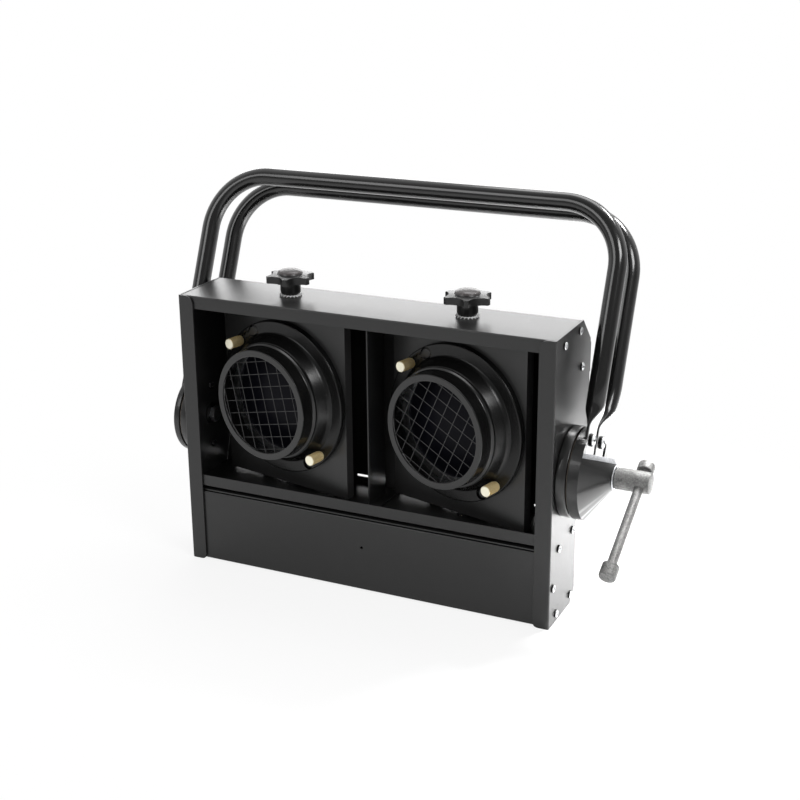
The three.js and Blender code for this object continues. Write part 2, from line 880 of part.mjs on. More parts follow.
// A cap on one end of the T-bar: its open face, and its length away from the boss
function makeBarCap(face, length) {
  const bore = bar.radius + touchGap;
  const end = face + length;
  const floor = end - Math.sign(length) * barCap.floor;
  const bevel = Math.sign(length) * barCap.bevel;
  const profile = [
    [bore, face],
    [barCap.radius - barCap.bevel, face],
    [barCap.radius, face + bevel],
    [barCap.radius, end - bevel],
    [barCap.radius - barCap.bevel, end],
    [0, end],
    [0, floor],
    [bore, floor],
    [bore, face],
  ];
  return turned(profile, turnedZ, smallSides);
}

function makePivotBolt() {
  const seat = drumBack - drum.spigotLength - touchGap;
  const end = armSeat + pivotBolt.nutLength + pivotBolt.threadPast;
  const head = rod(pivotBolt.headRadius, seat - pivotBolt.headLength, seat, turnedX, hexSides);
  const shank = rod(spindle.radius, seat - overrun, end, turnedX);
  return joined(head, shank);
}

function makePivotNut() {
  const end = armSeat + pivotBolt.nutLength;
  const body = rod(pivotBolt.nutRadius, armSeat, end, turnedX, hexSides);
  return without(body, rod(spindle.radius + touchGap, armSeat - overrun, end + overrun, turnedX));
}

// Square lamp frame: the face with its opening, side returns, and the two flanges it pans on
function makeFrame() {
  const front = -frame.face;
  const back = front + frame.sheet;
  const face = block(
    [-frameHalfWidth, front, -frameBottom],
    [frameHalfWidth, back, frameTop],
  );
  const returns = [-1, 1].map((side) => {
    const low = side > 0 ? frameHalfWidth - frame.sheet : -frameHalfWidth;
    return block(
      [low, front, -frameBottom],
      [low + frame.sheet, front + frame.returnDepth, frameTop],
    );
  });
  const tongue = outlineOf([
    [frame.flangeInset - frameHalfWidth, front],
    [frameHalfWidth - frame.flangeInset, front],
    [frame.flangeBackHalf, frame.flangeBack],
    [-frame.flangeBackHalf, frame.flangeBack],
  ]);
  const lower = plateAlongZ(tongue, -frameBottom, -frameBottom + frame.sheet);
  const upper = plateAlongZ(tongue, frameTop - frame.sheet, frameTop);
  const nutTop = frameTop - frame.sheet / 2;
  const nut = rod(frame.nutRadius, nutTop - frame.nutLength, nutTop, turnedZ, hexSides);
  const reach = frameTop - frame.nutLength - overrun;
  const studHole = rod(stud.radius + runningGap, reach - frame.sheet, frameTop + overrun, turnedZ);
  const pinHole = rod(
    pivotPin.radius + runningGap,
    -frameBottom - overrun,
    -frameBottom + frame.sheet + overrun,
    turnedZ,
  );
  const opening = rod(
    frameOpening,
    frame.face - frame.sheet - overrun,
    frame.face + overrun,
    turnedForward,
    largeSides,
  );
  // Raised pads that carry the ring's flange behind its keyholes
  const padFace = lampRing.flangeFace - lampRing.sheet - touchGap;
  const pads = alongKeyholes(keyhole.pad, frame.face - frame.sheet / 2, padFace);
  const screwHoles = atThumbscrews(
    rod(thumbscrew.shank + touchGap, frame.face - overrun, padFace + overrun, turnedForward),
  );
  return without(
    joined(face, ...returns, lower, upper, nut, ...pads),
    studHole,
    pinHole,
    opening,
    ...screwHoles,
  );
}

// Where a thumbscrew stands on its circle, turned by an angle seen from the front
function thumbscrewPlace(degrees) {
  const angle = radians(degrees);
  return [Math.cos(angle) * screwCircle, 0, Math.sin(angle) * screwCircle];
}

function atThumbscrews(body) {
  return thumbscrew.angles.map((angle) => body.translate(thumbscrewPlace(angle)));
}

// Bent track of each keyhole, from its thumbscrew to its eye, in two straight runs
function alongKeyholes(radius, from, to) {
  const step = keyhole.twist / 2;
  const half = (radians(step) * screwCircle) / 2;
  const stop = rod(radius, from, to, turnedForward);
  const run = block([-radius, -to, -half], [radius, -from, half]);
  return thumbscrew.angles.flatMap((angle) => {
    const stops = [0, 1, 2].map((turn) => stop.translate(thumbscrewPlace(angle - turn * step)));
    const runs = [1, 3].map((turn) => {
      const middle = angle - (turn * step) / 2;
      return run.rotate([0, -middle, 0]).translate(thumbscrewPlace(middle));
    });
    return [...stops, ...runs];
  });
}

// Pressed ring that twists off the frame: flange, hub and neck, with two keyholes
function makeLampRing() {
  const wall = lampRing.sheet;
  const skirtBack = frame.face + touchGap;
  const line = [
    [ringRadius, skirtBack],
    [ringRadius, lampRing.flangeFace],
    [hubFootRadius, lampRing.flangeFace],
    [hubRadius, lampRing.hubFace],
    [endRadius, lampRing.endFace],
  ];
  const inner = bentOutline(line, wall).getPoints();
  const profile = inner.map((point) => [point.x, point.y]);
  profile.push(profile[0]);
  const body = turned(profile, turnedForward, largeSides);
  const from = lampRing.flangeFace - overrun;
  const to = lampRing.flangeFace + overrun;
  const eye = rod(keyhole.eye, from, to, turnedForward);
  const eyes = thumbscrew.angles.map((angle) => eye.translate(thumbscrewPlace(angle - keyhole.twist)));
  return without(body, ...alongKeyholes(keyhole.slot, from, to), ...eyes);
}

function makeSnout() {
  const wall = snout.wall;
  const bead = lampRing.endFace + touchGap;
  const profile = [
    [sleeveRadius, snout.sleeveBack],
    [sleeveRadius, bead],
    [sleeveRadius + snout.beadHeight, bead],
    [sleeveRadius + snout.beadHeight, snout.beadFace],
    [throatRadius, snout.throatFace],
    [faceRadius, snout.face],
    [mouthRadius, snout.face],
    [mouthRadius, snout.face - wall],
    [faceRadius - wall, snout.face - wall],
    [sleeveRadius - wall, bead],
    [sleeveRadius - wall, snout.sleeveBack],
    [sleeveRadius, snout.sleeveBack],
  ];
  return turned(profile, turnedForward, largeSides);
}

// Where the wires of one direction lie, and the half length of each
function wireOffsets(first, radius) {
  const count = Math.ceil((2 * radius) / guard.pitch);
  return Array.from({ length: 2 * count + 1 }, (_, i) => first + (i - count) * guard.pitch)
    .filter((offset) => Math.abs(offset) < radius - guard.endGap)
    .map((offset) => [offset, Math.sqrt(radius ** 2 - offset ** 2)]);
}

// Wire guard: upright wires in front of level ones inside a hoop, turned in its plane
function makeGuard({ angle, across, up }) {
  const front = snout.face - snout.wall - touchGap;
  const hoop = ring(
    hoopRadius - guard.hoopWidth,
    hoopRadius,
    front - guardDepth,
    front,
    turnedForward,
    middleSides,
  );
  const half = guard.wire / 2;
  const middle = hoopRadius - guard.hoopWidth / 2;
  const back = guardDepth - front;
  const uprights = wireOffsets(across, middle).map(([offset, length]) =>
    block([offset - half, -front, -length], [offset + half, -front + guard.wire, length]),
  );
  const levels = wireOffsets(up, middle).map(([offset, length]) =>
    block([-length, back - guard.wire, offset - half], [length, back, offset + half]),
  );
  return joined(hoop, ...uprights, ...levels).rotate([0, -angle, 0]);
}

// Spring clip that holds the guard, cut through once
function makeGuardClip() {
  const front = snout.face - snout.wall - touchGap - guardDepth - touchGap;
  const back = front - clip.thickness;
  const whole = ring(clipRadius - clip.width, clipRadius, back, front, turnedForward, largeSides);
  const gap = block(
    [-clip.gap / 2, -front - overrun, -clipRadius - overrun],
    [clip.gap / 2, -back + overrun, 0],
  );
  return without(whole, gap);
}

function makeGasket() {
  const back = frame.face + touchGap;
  const bore = gasketRadius - gasket.width;
  return ring(bore, gasketRadius, back, back + gasket.thickness, turnedForward, middleSides);
}

const lampBack = frame.face + touchGap + gasket.thickness + touchGap;
const lampFront = lampBack + lamp.rim;

// The hollow of the lamp's glass, which opens at the tip between the terminal posts
function lampCavity() {
  const mouth = lampFront - lamp.glass;
  const depth = mouth - lampBack + lamp.bowlDepth - lamp.glass;
  const radius = bowlRadius - lamp.glass;
  const bowl = cavityRadiusShares.map((share, i) => [
    radius * share,
    mouth - depth * cavityDepthShares[i],
  ]);
  const profile = [[0, mouth - depth], ...bowl.reverse(), [0, mouth + lamp.lensRise]];
  const tip = rod(lamp.tipRadius, -lamp.bowlDepth, mouth - depth + lamp.glass, turnedForward);
  return joined(turned(profile, turnedForward, smallSides), tip);
}

// Sealed-beam lamp: domed lens, rim, hollow bowl and two terminal posts
function makeLamp() {
  const lensRadius = lampRadius - lamp.rimWidth;
  const lens = lensRadiusShares.map((share, i) => [
    lensRadius * share,
    lampFront + lamp.lensRise * lensRiseShares[i],
  ]);
  const bowl = bowlRadiusShares.map((share, i) => [
    bowlRadius * share,
    lampBack - lamp.bowlDepth * bowlDepthShares[i],
  ]);
  const bowlEnd = lampBack - lamp.bowlDepth;
  const neckEnd = bowlEnd - lamp.neckLength;
  const profile = [
    [0, neckEnd],
    [lamp.neckRadius, neckEnd],
    ...bowl.reverse(),
    [lampRadius, lampBack],
    [lampRadius, lampFront],
    [lensRadius, lampFront],
    ...lens,
    [0, lampFront + lamp.lensRise],
  ];
  const posts = [-1, 1].map((side) =>
    rod(
      lamp.postRadius,
      neckEnd - lamp.postLength,
      neckEnd + lamp.neckLength / 2,
      turnedForward,
      smallSides / 2,
    ).translate(side * lamp.postSpread, 0, 0),
  );
  return without(joined(turned(profile, turnedForward, middleSides), ...posts), lampCavity());
}

function makeRetainer() {
  const back = lampFront + touchGap;
  const front = back + retainer.thickness;
  const bore = lampRadius - retainer.lip;
  return ring(bore, lampRadius + retainer.overhang, back, front, turnedForward, middleSides);
}

function makeThumbscrew() {
  const seat = lampRing.flangeFace + touchGap;
  const end = seat + thumbscrew.length;
  const { radius, bevel, shank } = thumbscrew;
  const profile = [
    [0, thumbscrew.shankEnd],
    [shank, thumbscrew.shankEnd],
    [shank, seat],
    [radius - bevel, seat],
    [radius, seat + bevel],
    [radius, end - bevel],
    [radius - bevel, end],
    [0, end],
  ];
  return turned(profile, turnedForward, smallSides);
}

function makeStud() {
  return rod(stud.radius, coverTop - stud.intoFrame, studTop, turnedZ);
}

// Bush on the stud between the frame's top flange and the top cover
function makeBush() {
  const bottom = lampHeight + frameTop + touchGap;
  const top = coverUnderside - touchGap;
  return ring(stud.radius + runningGap, bush.radius, bottom, top, turnedZ, smallSides);
}

const washerBottom = coverTop + touchGap;
const knobBottom = washerBottom + lockWasher.thickness + touchGap;

function makeLockWasher() {
  const points = Array.from({ length: 2 * lockWasher.teeth }, (_, i) => {
    const angle = (i / lockWasher.teeth) * Math.PI;
    const radius = i % 2 ? lockWasher.valley : lockWasher.outer;
    return [radius * Math.cos(angle), radius * Math.sin(angle)];
  });
  const top = washerBottom + lockWasher.thickness;
  const bore = rod(stud.radius + runningGap, washerBottom - overrun, top + overrun, turnedZ);
  return without(plateAlongZ(outlineOf(points), washerBottom, top), bore);
}

// Star knob: hub, lobed plate and domed cap, with a blind bore for the stud
function makeKnob() {
  const starBottom = knobBottom + knob.hubLength;
  const starTop = starBottom + knob.starThickness;
  const sector = 360 / knob.lobes;
  const star = [];
  for (let lobe = 0; lobe < knob.lobes; lobe += 1) {
    for (const step of starAngles) {
      const fromValley = radians(step - sector / 2);
      const aside = knob.scallopCircle * Math.sin(fromValley);
      const dip = Math.sqrt(Math.max(0, knob.scallopRadius ** 2 - aside ** 2));
      const radius = Math.min(knob.starTip, knob.scallopCircle * Math.cos(fromValley) - dip);
      const angle = radians(sector * lobe + step);
      star.push([radius * Math.cos(angle), radius * Math.sin(angle)]);
    }
  }
  const dome = domeRadiusShares.map((share, i) => [
    knob.domeRadius * share,
    starTop + knob.domeRise * domeRiseShares[i],
  ]);
  const core = [
    [0, knobBottom],
    [knob.hubRadius, knobBottom],
    [knob.hubRadius, starBottom + knob.starThickness / 2],
    [knob.domeRadius, starTop - knob.starThickness / 4],
    ...dome,
    [0, starTop + knob.domeRise],
  ];
  const body = joined(
    turned(core, turnedZ, middleSides),
    plateAlongZ(outlineOf(star), starBottom, starTop),
  );
  return without(
    body,
    rod(stud.radius + touchGap, knobBottom - overrun, studTop + touchGap, turnedZ),
  );
}

// Shoulder rivet in the shelf that the frame's lower flange turns on
function makePivotPin() {
  const headTop = lowerBend - touchGap;
  const collarBottom = shelfTop + touchGap;
  const collarTop = lampHeight - frameBottom - touchGap;
  const profile = [
    [0, headTop - pivotPin.headLength],
    [pivotPin.headRadius, headTop - pivotPin.headLength],
    [pivotPin.headRadius, headTop],
    [pivotPin.shank, headTop],
    [pivotPin.shank, collarBottom],
    [pivotPin.collarRadius, collarBottom],
    [pivotPin.collarRadius, collarTop],
    [pivotPin.radius, collarTop],
    [pivotPin.radius, frameFoot + pivotPin.intoFrame],
    [0, frameFoot + pivotPin.intoFrame],
  ];
  return turned(profile, turnedZ, smallSides);
}

// Cable gland through the rear panel: lock nut inside, body nut and dome cap outside
function makeGland() {
  const outside = housing.lowerDepth + touchGap;
  const inside = housing.lowerDepth - housing.sheet - touchGap;
  const body = rod(gland.bodyRadius, inside - gland.tail, outside + gland.nutLength, turnedBack);
  const lockNut = rod(gland.nutRadius, inside - gland.nutLength, inside, turnedBack, hexSides);
  const outerNut = rod(gland.nutRadius, outside, outside + gland.nutLength, turnedBack, hexSides);
  const capEnd = outside + gland.nutLength + gland.capLength;
  const cap = turned(
    [
      [0, outside + gland.nutLength / 2],
      [gland.capRadius, outside + gland.nutLength / 2],
      [gland.capRadius, capEnd - gland.noseLength],
      [gland.noseRadius, capEnd],
      [0, capEnd],
    ],
    turnedBack,
    smallSides,
  );
  const bore = rod(gland.bore, inside - gland.tail - overrun, capEnd + overrun, turnedBack);
  return without(joined(body, lockNut, outerNut, cap), bore);
}

// Ceramic terminal block on the bottom cover, with a screw well for each pole
function makeTerminalBlock() {
  const bottom = housing.sheet + touchGap;
  const top = bottom + terminal.height;
  const body = block(
    [terminal.x - terminal.length / 2, terminal.y - terminal.width / 2, bottom],
    [terminal.x + terminal.length / 2, terminal.y + terminal.width / 2, top],
  );
  const pitch = terminal.length / terminal.poles;
  const wells = Array.from({ length: terminal.poles }, (_, i) =>
    rod(terminal.screw, top - terminal.depth, top + overrun, turnedZ, smallSides / 2).translate(
      terminal.x + (i - (terminal.poles - 1) / 2) * pitch,
      terminal.y,
      0,
    ),
  );
  return without(body, ...wells);
}

// Turns a solid made on the right round to the left
function mirroredX(body) {
  return body.mirror([1, 0, 0]);
}

addMesh(light, "side_plate_left", sidePlate(-1), satinBlack);
addMesh(light, "side_plate_right", sidePlate(1), satinBlack);
addMesh(light, "top_cover", makeTopCover(), satinBlack);
addMesh(light, "rear_panel", makeRearPanel(), satinBlack);
addMesh(light, "lamp_shelf", makeShelf(), satinBlack);
addMesh(light, "front_panel", makeFrontPanel(), satinBlack);
addMesh(light, "bottom_cover", makeBottomCover(), satinBlack);
addMesh(light, "divider", makeDivider(), satinBlack);
addMesh(light, "cable_gland", makeGland().translate(gland.x, 0, gland.z), blackPlastic);
addMesh(light, "terminal_block", makeTerminalBlock(), nylon);

addMesh(tiltGroup, "clutch_drum", makeDrum(drum.clutchRadius), glossBlack);
addMesh(tiltGroup, "pivot_drum", mirroredX(makeDrum(drum.pivotRadius)), glossBlack);
addMesh(tiltGroup, "friction_pad_right", makePad(drum.clutchRadius), fibre);
addMesh(tiltGroup, "friction_pad_left", mirroredX(makePad(drum.pivotRadius)), fibre);
addMesh(tiltGroup, "pivot_bolt", mirroredX(makePivotBolt()), zinc);
addMesh(tiltGroup, "pivot_nut", mirroredX(makePivotNut()), zinc);
const thrustWasher = ring(
  spindle.radius + runningGap,
  washer.radius,
  coneTip + touchGap,
  coneTip + touchGap + washer.thickness,
  turnedX,
  middleSides,
);
addMesh(tiltGroup, "thrust_washer", thrustWasher, zinc);
addMesh(tiltGroup, "clutch_spindle", makeSpindle(), steel);

addMesh(yokeGroup, "clutch_cone", makeClutchCone(), glossBlack);
addMesh(yokeGroup, "arm_wedge", makeArmWedge(), zinc);
addMesh(yokeGroup, "pivot_disc", mirroredX(makePivotDisc()), glossBlack);
addMesh(yokeGroup, "yoke_tube_front", makeYokeTube(-1), glossBlack);
addMesh(yokeGroup, "yoke_tube_rear", makeYokeTube(1), glossBlack);
for (const [end, front] of [
  ["front", -1],
  ["rear", 1],
]) {
  const bolt = makeTubeBolt().translate(0, front * tubeBolt.spread, tubeBolt.height);
  addMesh(yokeGroup, `tube_bolt_right_${end}`, bolt, zinc);
  addMesh(yokeGroup, `tube_bolt_left_${end}`, mirroredX(bolt), zinc);
}

addMesh(barGroup, "t_bar", rod(bar.radius, -bar.reach, bar.rise, turnedZ), steel);
addMesh(barGroup, "bar_cap_near", makeBarCap(nearCap.face, nearCap.length), steel);
addMesh(barGroup, "bar_cap_far", makeBarCap(farCap.face, farCap.length), steel);

for (const [side, x, panAngle] of [
  ["left", -panX, pan.leftAngle],
  ["right", panX, pan.rightAngle],
]) {
  const panGroup = new THREE.Group();
  panGroup.position.set(x, pan.y, 0);
  light.add(panGroup);
  addMesh(panGroup, `pan_knob_${side}`, makeKnob().rotate([0, 0, knobRest[side]]), blackPlastic);
  addMesh(panGroup, `knob_stud_${side}`, makeStud(), zinc);
  addMesh(panGroup, `lock_washer_${side}`, makeLockWasher(), zinc);
  addMesh(panGroup, `pan_bush_${side}`, makeBush(), nylon);
  addMesh(panGroup, `pivot_pin_${side}`, makePivotPin(), zinc);
  const lampGroup = new THREE.Group();
  lampGroup.position.z = lampHeight;
  lampGroup.rotation.z = radians(panAngle);
  panGroup.add(lampGroup);
  addMesh(lampGroup, `lamp_frame_${side}`, makeFrame(), satinBlack);
  addMesh(lampGroup, `lamp_gasket_${side}`, makeGasket(), rubber);
  addMesh(lampGroup, `par_lamp_${side}`, makeLamp(), lampGlass);
  addMesh(lampGroup, `lamp_retainer_${side}`, makeRetainer(), zinc);
  addMesh(lampGroup, `lamp_ring_${side}`, makeLampRing(), satinBlack);
  addMesh(lampGroup, `snout_${side}`, makeSnout(), satinBlack);
  addMesh(lampGroup, `wire_guard_${side}`, makeGuard(guardPlace[side]), glossBlack);
  addMesh(lampGroup, `guard_clip_${side}`, makeGuardClip(), steel);
  atThumbscrews(makeThumbscrew()).forEach((body, i) => {
    addMesh(lampGroup, `thumbscrew_${side}_${i ? "lower" : "upper"}`, body, brass);
  });
}

export default light;
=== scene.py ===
import math

import bmesh
import bpy
from mathutils import Matrix, Vector


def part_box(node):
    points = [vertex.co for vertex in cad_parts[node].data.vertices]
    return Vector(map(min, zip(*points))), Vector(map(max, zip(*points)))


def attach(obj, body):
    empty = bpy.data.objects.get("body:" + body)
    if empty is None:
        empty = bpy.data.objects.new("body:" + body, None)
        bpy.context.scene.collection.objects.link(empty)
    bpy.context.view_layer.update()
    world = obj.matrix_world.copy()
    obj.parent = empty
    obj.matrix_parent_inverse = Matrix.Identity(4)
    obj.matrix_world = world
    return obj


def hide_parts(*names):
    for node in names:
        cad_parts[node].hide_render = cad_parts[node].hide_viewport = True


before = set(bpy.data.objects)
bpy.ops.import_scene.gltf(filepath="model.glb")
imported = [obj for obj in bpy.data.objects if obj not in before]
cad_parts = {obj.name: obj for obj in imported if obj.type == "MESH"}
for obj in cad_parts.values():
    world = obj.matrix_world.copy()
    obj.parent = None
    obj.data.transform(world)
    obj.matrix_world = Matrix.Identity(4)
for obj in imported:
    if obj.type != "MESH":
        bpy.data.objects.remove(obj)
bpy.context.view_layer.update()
print("frame loaded:", len(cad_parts), "nodes")

mm = 0.001
turn = math.tau
quarter = math.pi / 2
hexFlat = 0.866  # of half across the corners

# Where each group of pieces is modelled, in millimetres, and how it is set down in the row's frame
setting = {
    "restY": 33.55,
    "tilt": (48, 148),
    "lean": 23.4,
    "bar": (272, 61),
    "pan": {"left": (-96, 44.5, -12), "right": (96, 44.5, -14.5)},
    "lampHeight": 187.2,
}


# Place and turn of a group: housing, tilt, yoke, bar, or pan or lamp with its side
def groupFrame(group):
    tiltY, tiltZ = setting["tilt"]
    tiltY -= setting["restY"]
    kind, _, side = group.partition("_")
    if kind == "housing":
        return (0, -setting["restY"], 0), (0, 0, 0)
    if kind == "tilt":
        return (0, tiltY, tiltZ), (0, 0, 0)
    if kind == "yoke":
        return (0, tiltY, tiltZ), (-math.radians(setting["lean"]), 0, 0)
    if kind == "bar":
        x, angle = setting["bar"]
        return (x, tiltY, tiltZ), (-math.radians(angle), 0, 0)
    x, y, angle = setting["pan"][side]
    y -= setting["restY"]
    return ((x, y, 0), (0, 0, 0)) if kind == "pan" else ((x, y, setting["lampHeight"]), (0, 0, math.radians(angle)))


# Selects these pieces alone, and makes the first one active
def take(*pieces):
    bpy.ops.object.select_all(action="DESELECT")
    for piece in pieces:
        piece.select_set(True)
    bpy.context.view_layer.objects.active = pieces[0]


def startEdit(piece, mode="VERT", action="DESELECT"):
    take(piece)
    bpy.ops.object.mode_set(mode="EDIT")
    bpy.ops.mesh.select_mode(type=mode)
    bpy.ops.mesh.select_all(action=action)


def endEdit():
    bpy.ops.object.mode_set(mode="OBJECT")


def added(name):
    piece = bpy.context.active_object
    piece.name = name
    piece.data.name = name
    return piece


# Selects in edit mode what passes the test, and gives how many there are
def pick(kind, test):
    piece = bpy.context.edit_object
    work = bmesh.from_edit_mesh(piece.data)
    bpy.ops.mesh.select_all(action="DESELECT")
    parts = {"VERT": work.verts, "EDGE": work.edges, "FACE": work.faces}[kind]
    found = 0
    for part in parts:
        if test(part):
            part.select_set(True)
            found += 1
    work.select_flush_mode()
    bmesh.update_edit_mesh(piece.data)
    return found


def middle(part):
    return sum((v.co for v in part.verts), Vector()) / len(part.verts)


def closeUp(piece, gap):
    startEdit(piece, action="SELECT")
    bpy.ops.mesh.remove_doubles(threshold=gap)
    bpy.ops.mesh.normals_make_consistent(inside=False)
    endEdit()
    return piece


def modify(piece, kind, **settings):
    take(piece)
    modifier = piece.modifiers.new(kind.title(), kind)
    for key, value in settings.items():
        setattr(modifier, key, value)
    bpy.ops.object.modifier_apply(modifier=modifier.name)
    return piece


def softenEdges(piece, width, angle=30, segments=2):
    return modify(
        piece, "BEVEL", width=width, segments=segments, limit_method="ANGLE",
        angle_limit=math.radians(angle), use_clamp_overlap=True, miter_outer="MITER_ARC",
    )


def cutWith(piece, *cutters, operation="DIFFERENCE"):
    for cutter in cutters:
        modify(piece, "BOOLEAN", object=cutter, operation=operation, solver="EXACT")
    drop(*cutters)
    return piece


def copyOf(piece, name):
    twin = bpy.data.objects.new(name, piece.data.copy())
    twin.data.name = name
    bpy.context.scene.collection.objects.link(twin)
    return twin


def drop(*spares):
    for spare in spares:
        bpy.data.objects.remove(spare)


# Carries a piece's own place, turn and scale over to its mesh
def applyPlace(piece):
    take(piece)
    bpy.ops.object.transform_apply(location=True, rotation=True, scale=True)
    return piece


def moveMesh(piece, offset=(0, 0, 0), angles=(0, 0, 0)):
    piece.location = offset
    piece.rotation_euler = angles
    return applyPlace(piece)


def paint(piece, key):
    piece.data.materials.clear()
    piece.data.materials.append(finish[key])


def dress(piece, body, key, nodes, smooth):
    take(piece)
    bpy.ops.object.shade_smooth_by_angle(angle=math.radians(smooth))
    paint(piece, key)
    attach(piece, body)
    if nodes:
        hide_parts(*nodes)


# A piece modelled in millimetres goes where its group is
def finishPiece(piece, group, body, key, nodes=(), smooth=35):
    place, angles = groupFrame(group)
    piece.scale = (mm, mm, mm)
    moveMesh(piece, Vector(place) * mm, angles)
    dress(piece, body, key, nodes, smooth)


def extrudeBy(x, y, z):
    bpy.ops.mesh.extrude_region_move(TRANSFORM_OT_translate={"value": (x, y, z)})


# Turns a chain of (radius, place) points round an axis: "x" to the right, "z" up, "y" to the front
def turnPiece(name, profile, axis="x", steps=96):
    along = {"x": Vector((1, 0, 0)), "z": Vector((0, 0, 1)), "y": Vector((0, -1, 0))}[axis]
    out = Vector((1, 0, 0)) if axis == "z" else Vector((0, 0, 1))
    points = [out * radius + along * place for radius, place in profile]
    bpy.ops.mesh.primitive_plane_add(size=0.01, location=points[0])
    piece = applyPlace(added(name))
    startEdit(piece, action="SELECT")
    bpy.ops.mesh.merge(type="CENTER")
    for before, after in zip(points, points[1:]):
        extrudeBy(*(after - before))
    bpy.ops.mesh.select_all(action="SELECT")
    bpy.ops.mesh.spin(steps=steps, angle=turn, center=(0, 0, 0), axis=along)
    endEdit()
    return closeUp(piece, 1e-3)


# The chain of a ring or disc with all its edges broken by the same bevel
def ringProfile(bore, outer, low, high, bevel):
    return [
        (bore, low), (outer - bevel, low), (outer, low + bevel), (outer, high - bevel),
        (outer - bevel, high), (bore, high), (bore, low),
    ]


# The points of a rounded rim, where a part that is turned towards +1 or -1 ends
def roundRim(outer, end, bevel, way=1):
    ease = bevel * 0.3
    return [(outer, end - way * bevel), (outer - ease, end - way * ease), (outer - bevel, end)]


# A ring of round wire about the Y axis
def hoopPiece(name, radius, thick, place, sides):
    bpy.ops.mesh.primitive_torus_add(
        major_radius=radius, minor_radius=thick, major_segments=96, minor_segments=sides,
        location=(0, -place, 0), rotation=(quarter, 0, 0),
    )
    return applyPlace(added(name))


def blockPiece(name, low, high):
    low, high = Vector(low), Vector(high)
    bpy.ops.mesh.primitive_cube_add(size=1, location=(low + high) / 2)
    piece = added(name)
    piece.scale = high - low
    return applyPlace(piece)


def rodPiece(name, radius, start, end, sides=48):
    start, end = Vector(start), Vector(end)
    run = end - start
    bpy.ops.mesh.primitive_cylinder_add(vertices=sides, radius=radius, depth=run.length)
    piece = added(name)
    piece.rotation_mode = "QUATERNION"
    piece.rotation_quaternion = run.to_track_quat("Z", "Y")
    piece.location = (start + end) / 2
    applyPlace(piece)
    piece.rotation_mode = "XYZ"
    return piece


def joinPieces(name, pieces):
    take(*pieces)
    bpy.ops.object.join()
    return added(name)


# Writes 1 on the points that pass the test, for a finish to read
def markPoints(piece, name, test):
    values = piece.data.attributes.new(name, "FLOAT", "POINT").data
    for v in piece.data.vertices:
        values[v.index].value = 1 if test(v.co) else 0


# A socket that takes part in sums: every operation adds a Math node
class Wire:
    def __init__(self, net, socket):
        self.net = net
        self.socket = socket

    def __add__(self, other):
        return self.net.sum("ADD", self, other)

    def __radd__(self, other):
        return self.net.sum("ADD", other, self)

    def __sub__(self, other):
        return self.net.sum("SUBTRACT", self, other)

    def __rsub__(self, other):
        return self.net.sum("SUBTRACT", other, self)

    def __mul__(self, other):
        return self.net.sum("MULTIPLY", self, other)


class Net:
    def __init__(self, name, slot=None):
        self.material = bpy.data.materials.new(name)
        self.material.use_nodes = True
        self.tree = self.material.node_tree
        self.tree.nodes.clear()
        if slot:
            self.material["slot"] = slot

    # One node: its settings first, then the values or links of its sockets
    def node(self, kind, settings=None, inputs=None, out=0):
        made = self.tree.nodes.new("ShaderNode" + kind)
        for key, value in (settings or {}).items():
            if key == "stops":
                while len(made.color_ramp.elements) < len(value):
                    made.color_ramp.elements.new(1)
                for element, (place, shade) in zip(made.color_ramp.elements, value):
                    element.position = place
                    element.color = (shade, shade, shade, 1) if isinstance(shade, (int, float)) else shade
            else:
                setattr(made, key, value)
        for key, value in (inputs or {}).items():
            if isinstance(value, Wire):
                self.tree.links.new(value.socket, made.inputs[key])
            else:
                made.inputs[key].default_value = value
        return Wire(self, made.outputs[out]) if made.outputs else None

    def sum(self, operation, a, b):
        return self.node("Math", {"operation": operation}, {0: a, 1: b})

    def blend(self, factor, a, b):
        return self.node("Mix", {"data_type": "RGBA"}, {0: factor, 6: a, 7: b}, out=2)

    # Object coordinates, stretched if a scale is given
    def place(self, scale=None):
        spot = self.node("TexCoord", out=3)
        return self.node("Mapping", {}, {0: spot, 3: scale}) if scale else spot

    def noise(self, scale, detail, rough, where=None):
        inputs = {"Vector": where or self.place(), "Scale": scale, "Detail": detail, "Roughness": rough}
        return self.node("TexNoise", {}, inputs)

    def cells(self, scale):
        return self.node("TexVoronoi", {"feature": "SMOOTH_F1"}, {"Vector": self.place(), "Scale": scale})

    def ease(self, value, low, high, start, end=1):
        inputs = {0: value, 1: low, 2: high, 3: start, 4: end}
        return self.node("MapRange", {"interpolation_type": "SMOOTHSTEP"}, inputs)

    # Mixes the mark's colour in where the piece's own attribute says so
    def marked(self, shade, mark):
        if not mark:
            return shade
        name, colour = mark
        return self.blend(self.node("Attribute", {"attribute_name": name}, out=2), shade, colour)

    def ramp(self, factor, *stops):
        return self.node("ValToRGB", {"stops": stops}, {0: factor})

    def bump(self, height, strength, distance):
        return self.node("Bump", {}, {"Height": height, "Strength": strength, "Distance": distance})

    def surface(self, **inputs):
        named = {key.replace("_", " ").title().replace("Ior", "IOR"): value for key, value in inputs.items()}
        shader = self.node("BsdfPrincipled", {}, named)
        self.node("OutputMaterial", {}, {0: shader})
        return self.material


def grey(value):
    return (value, value, value, 1)


# Camera, placed from the photograph's own perspective
view = {
    "place": (0.6105, -1.22965, 0.6762),
    "yaw": 25.29,
    "pitch": 19.31,
    "roll": 0.45,
    "focalPixels": 1464.7,
    "imagePixels": 800,
    "sensor": 36,
    "nearest": 0.05,
}


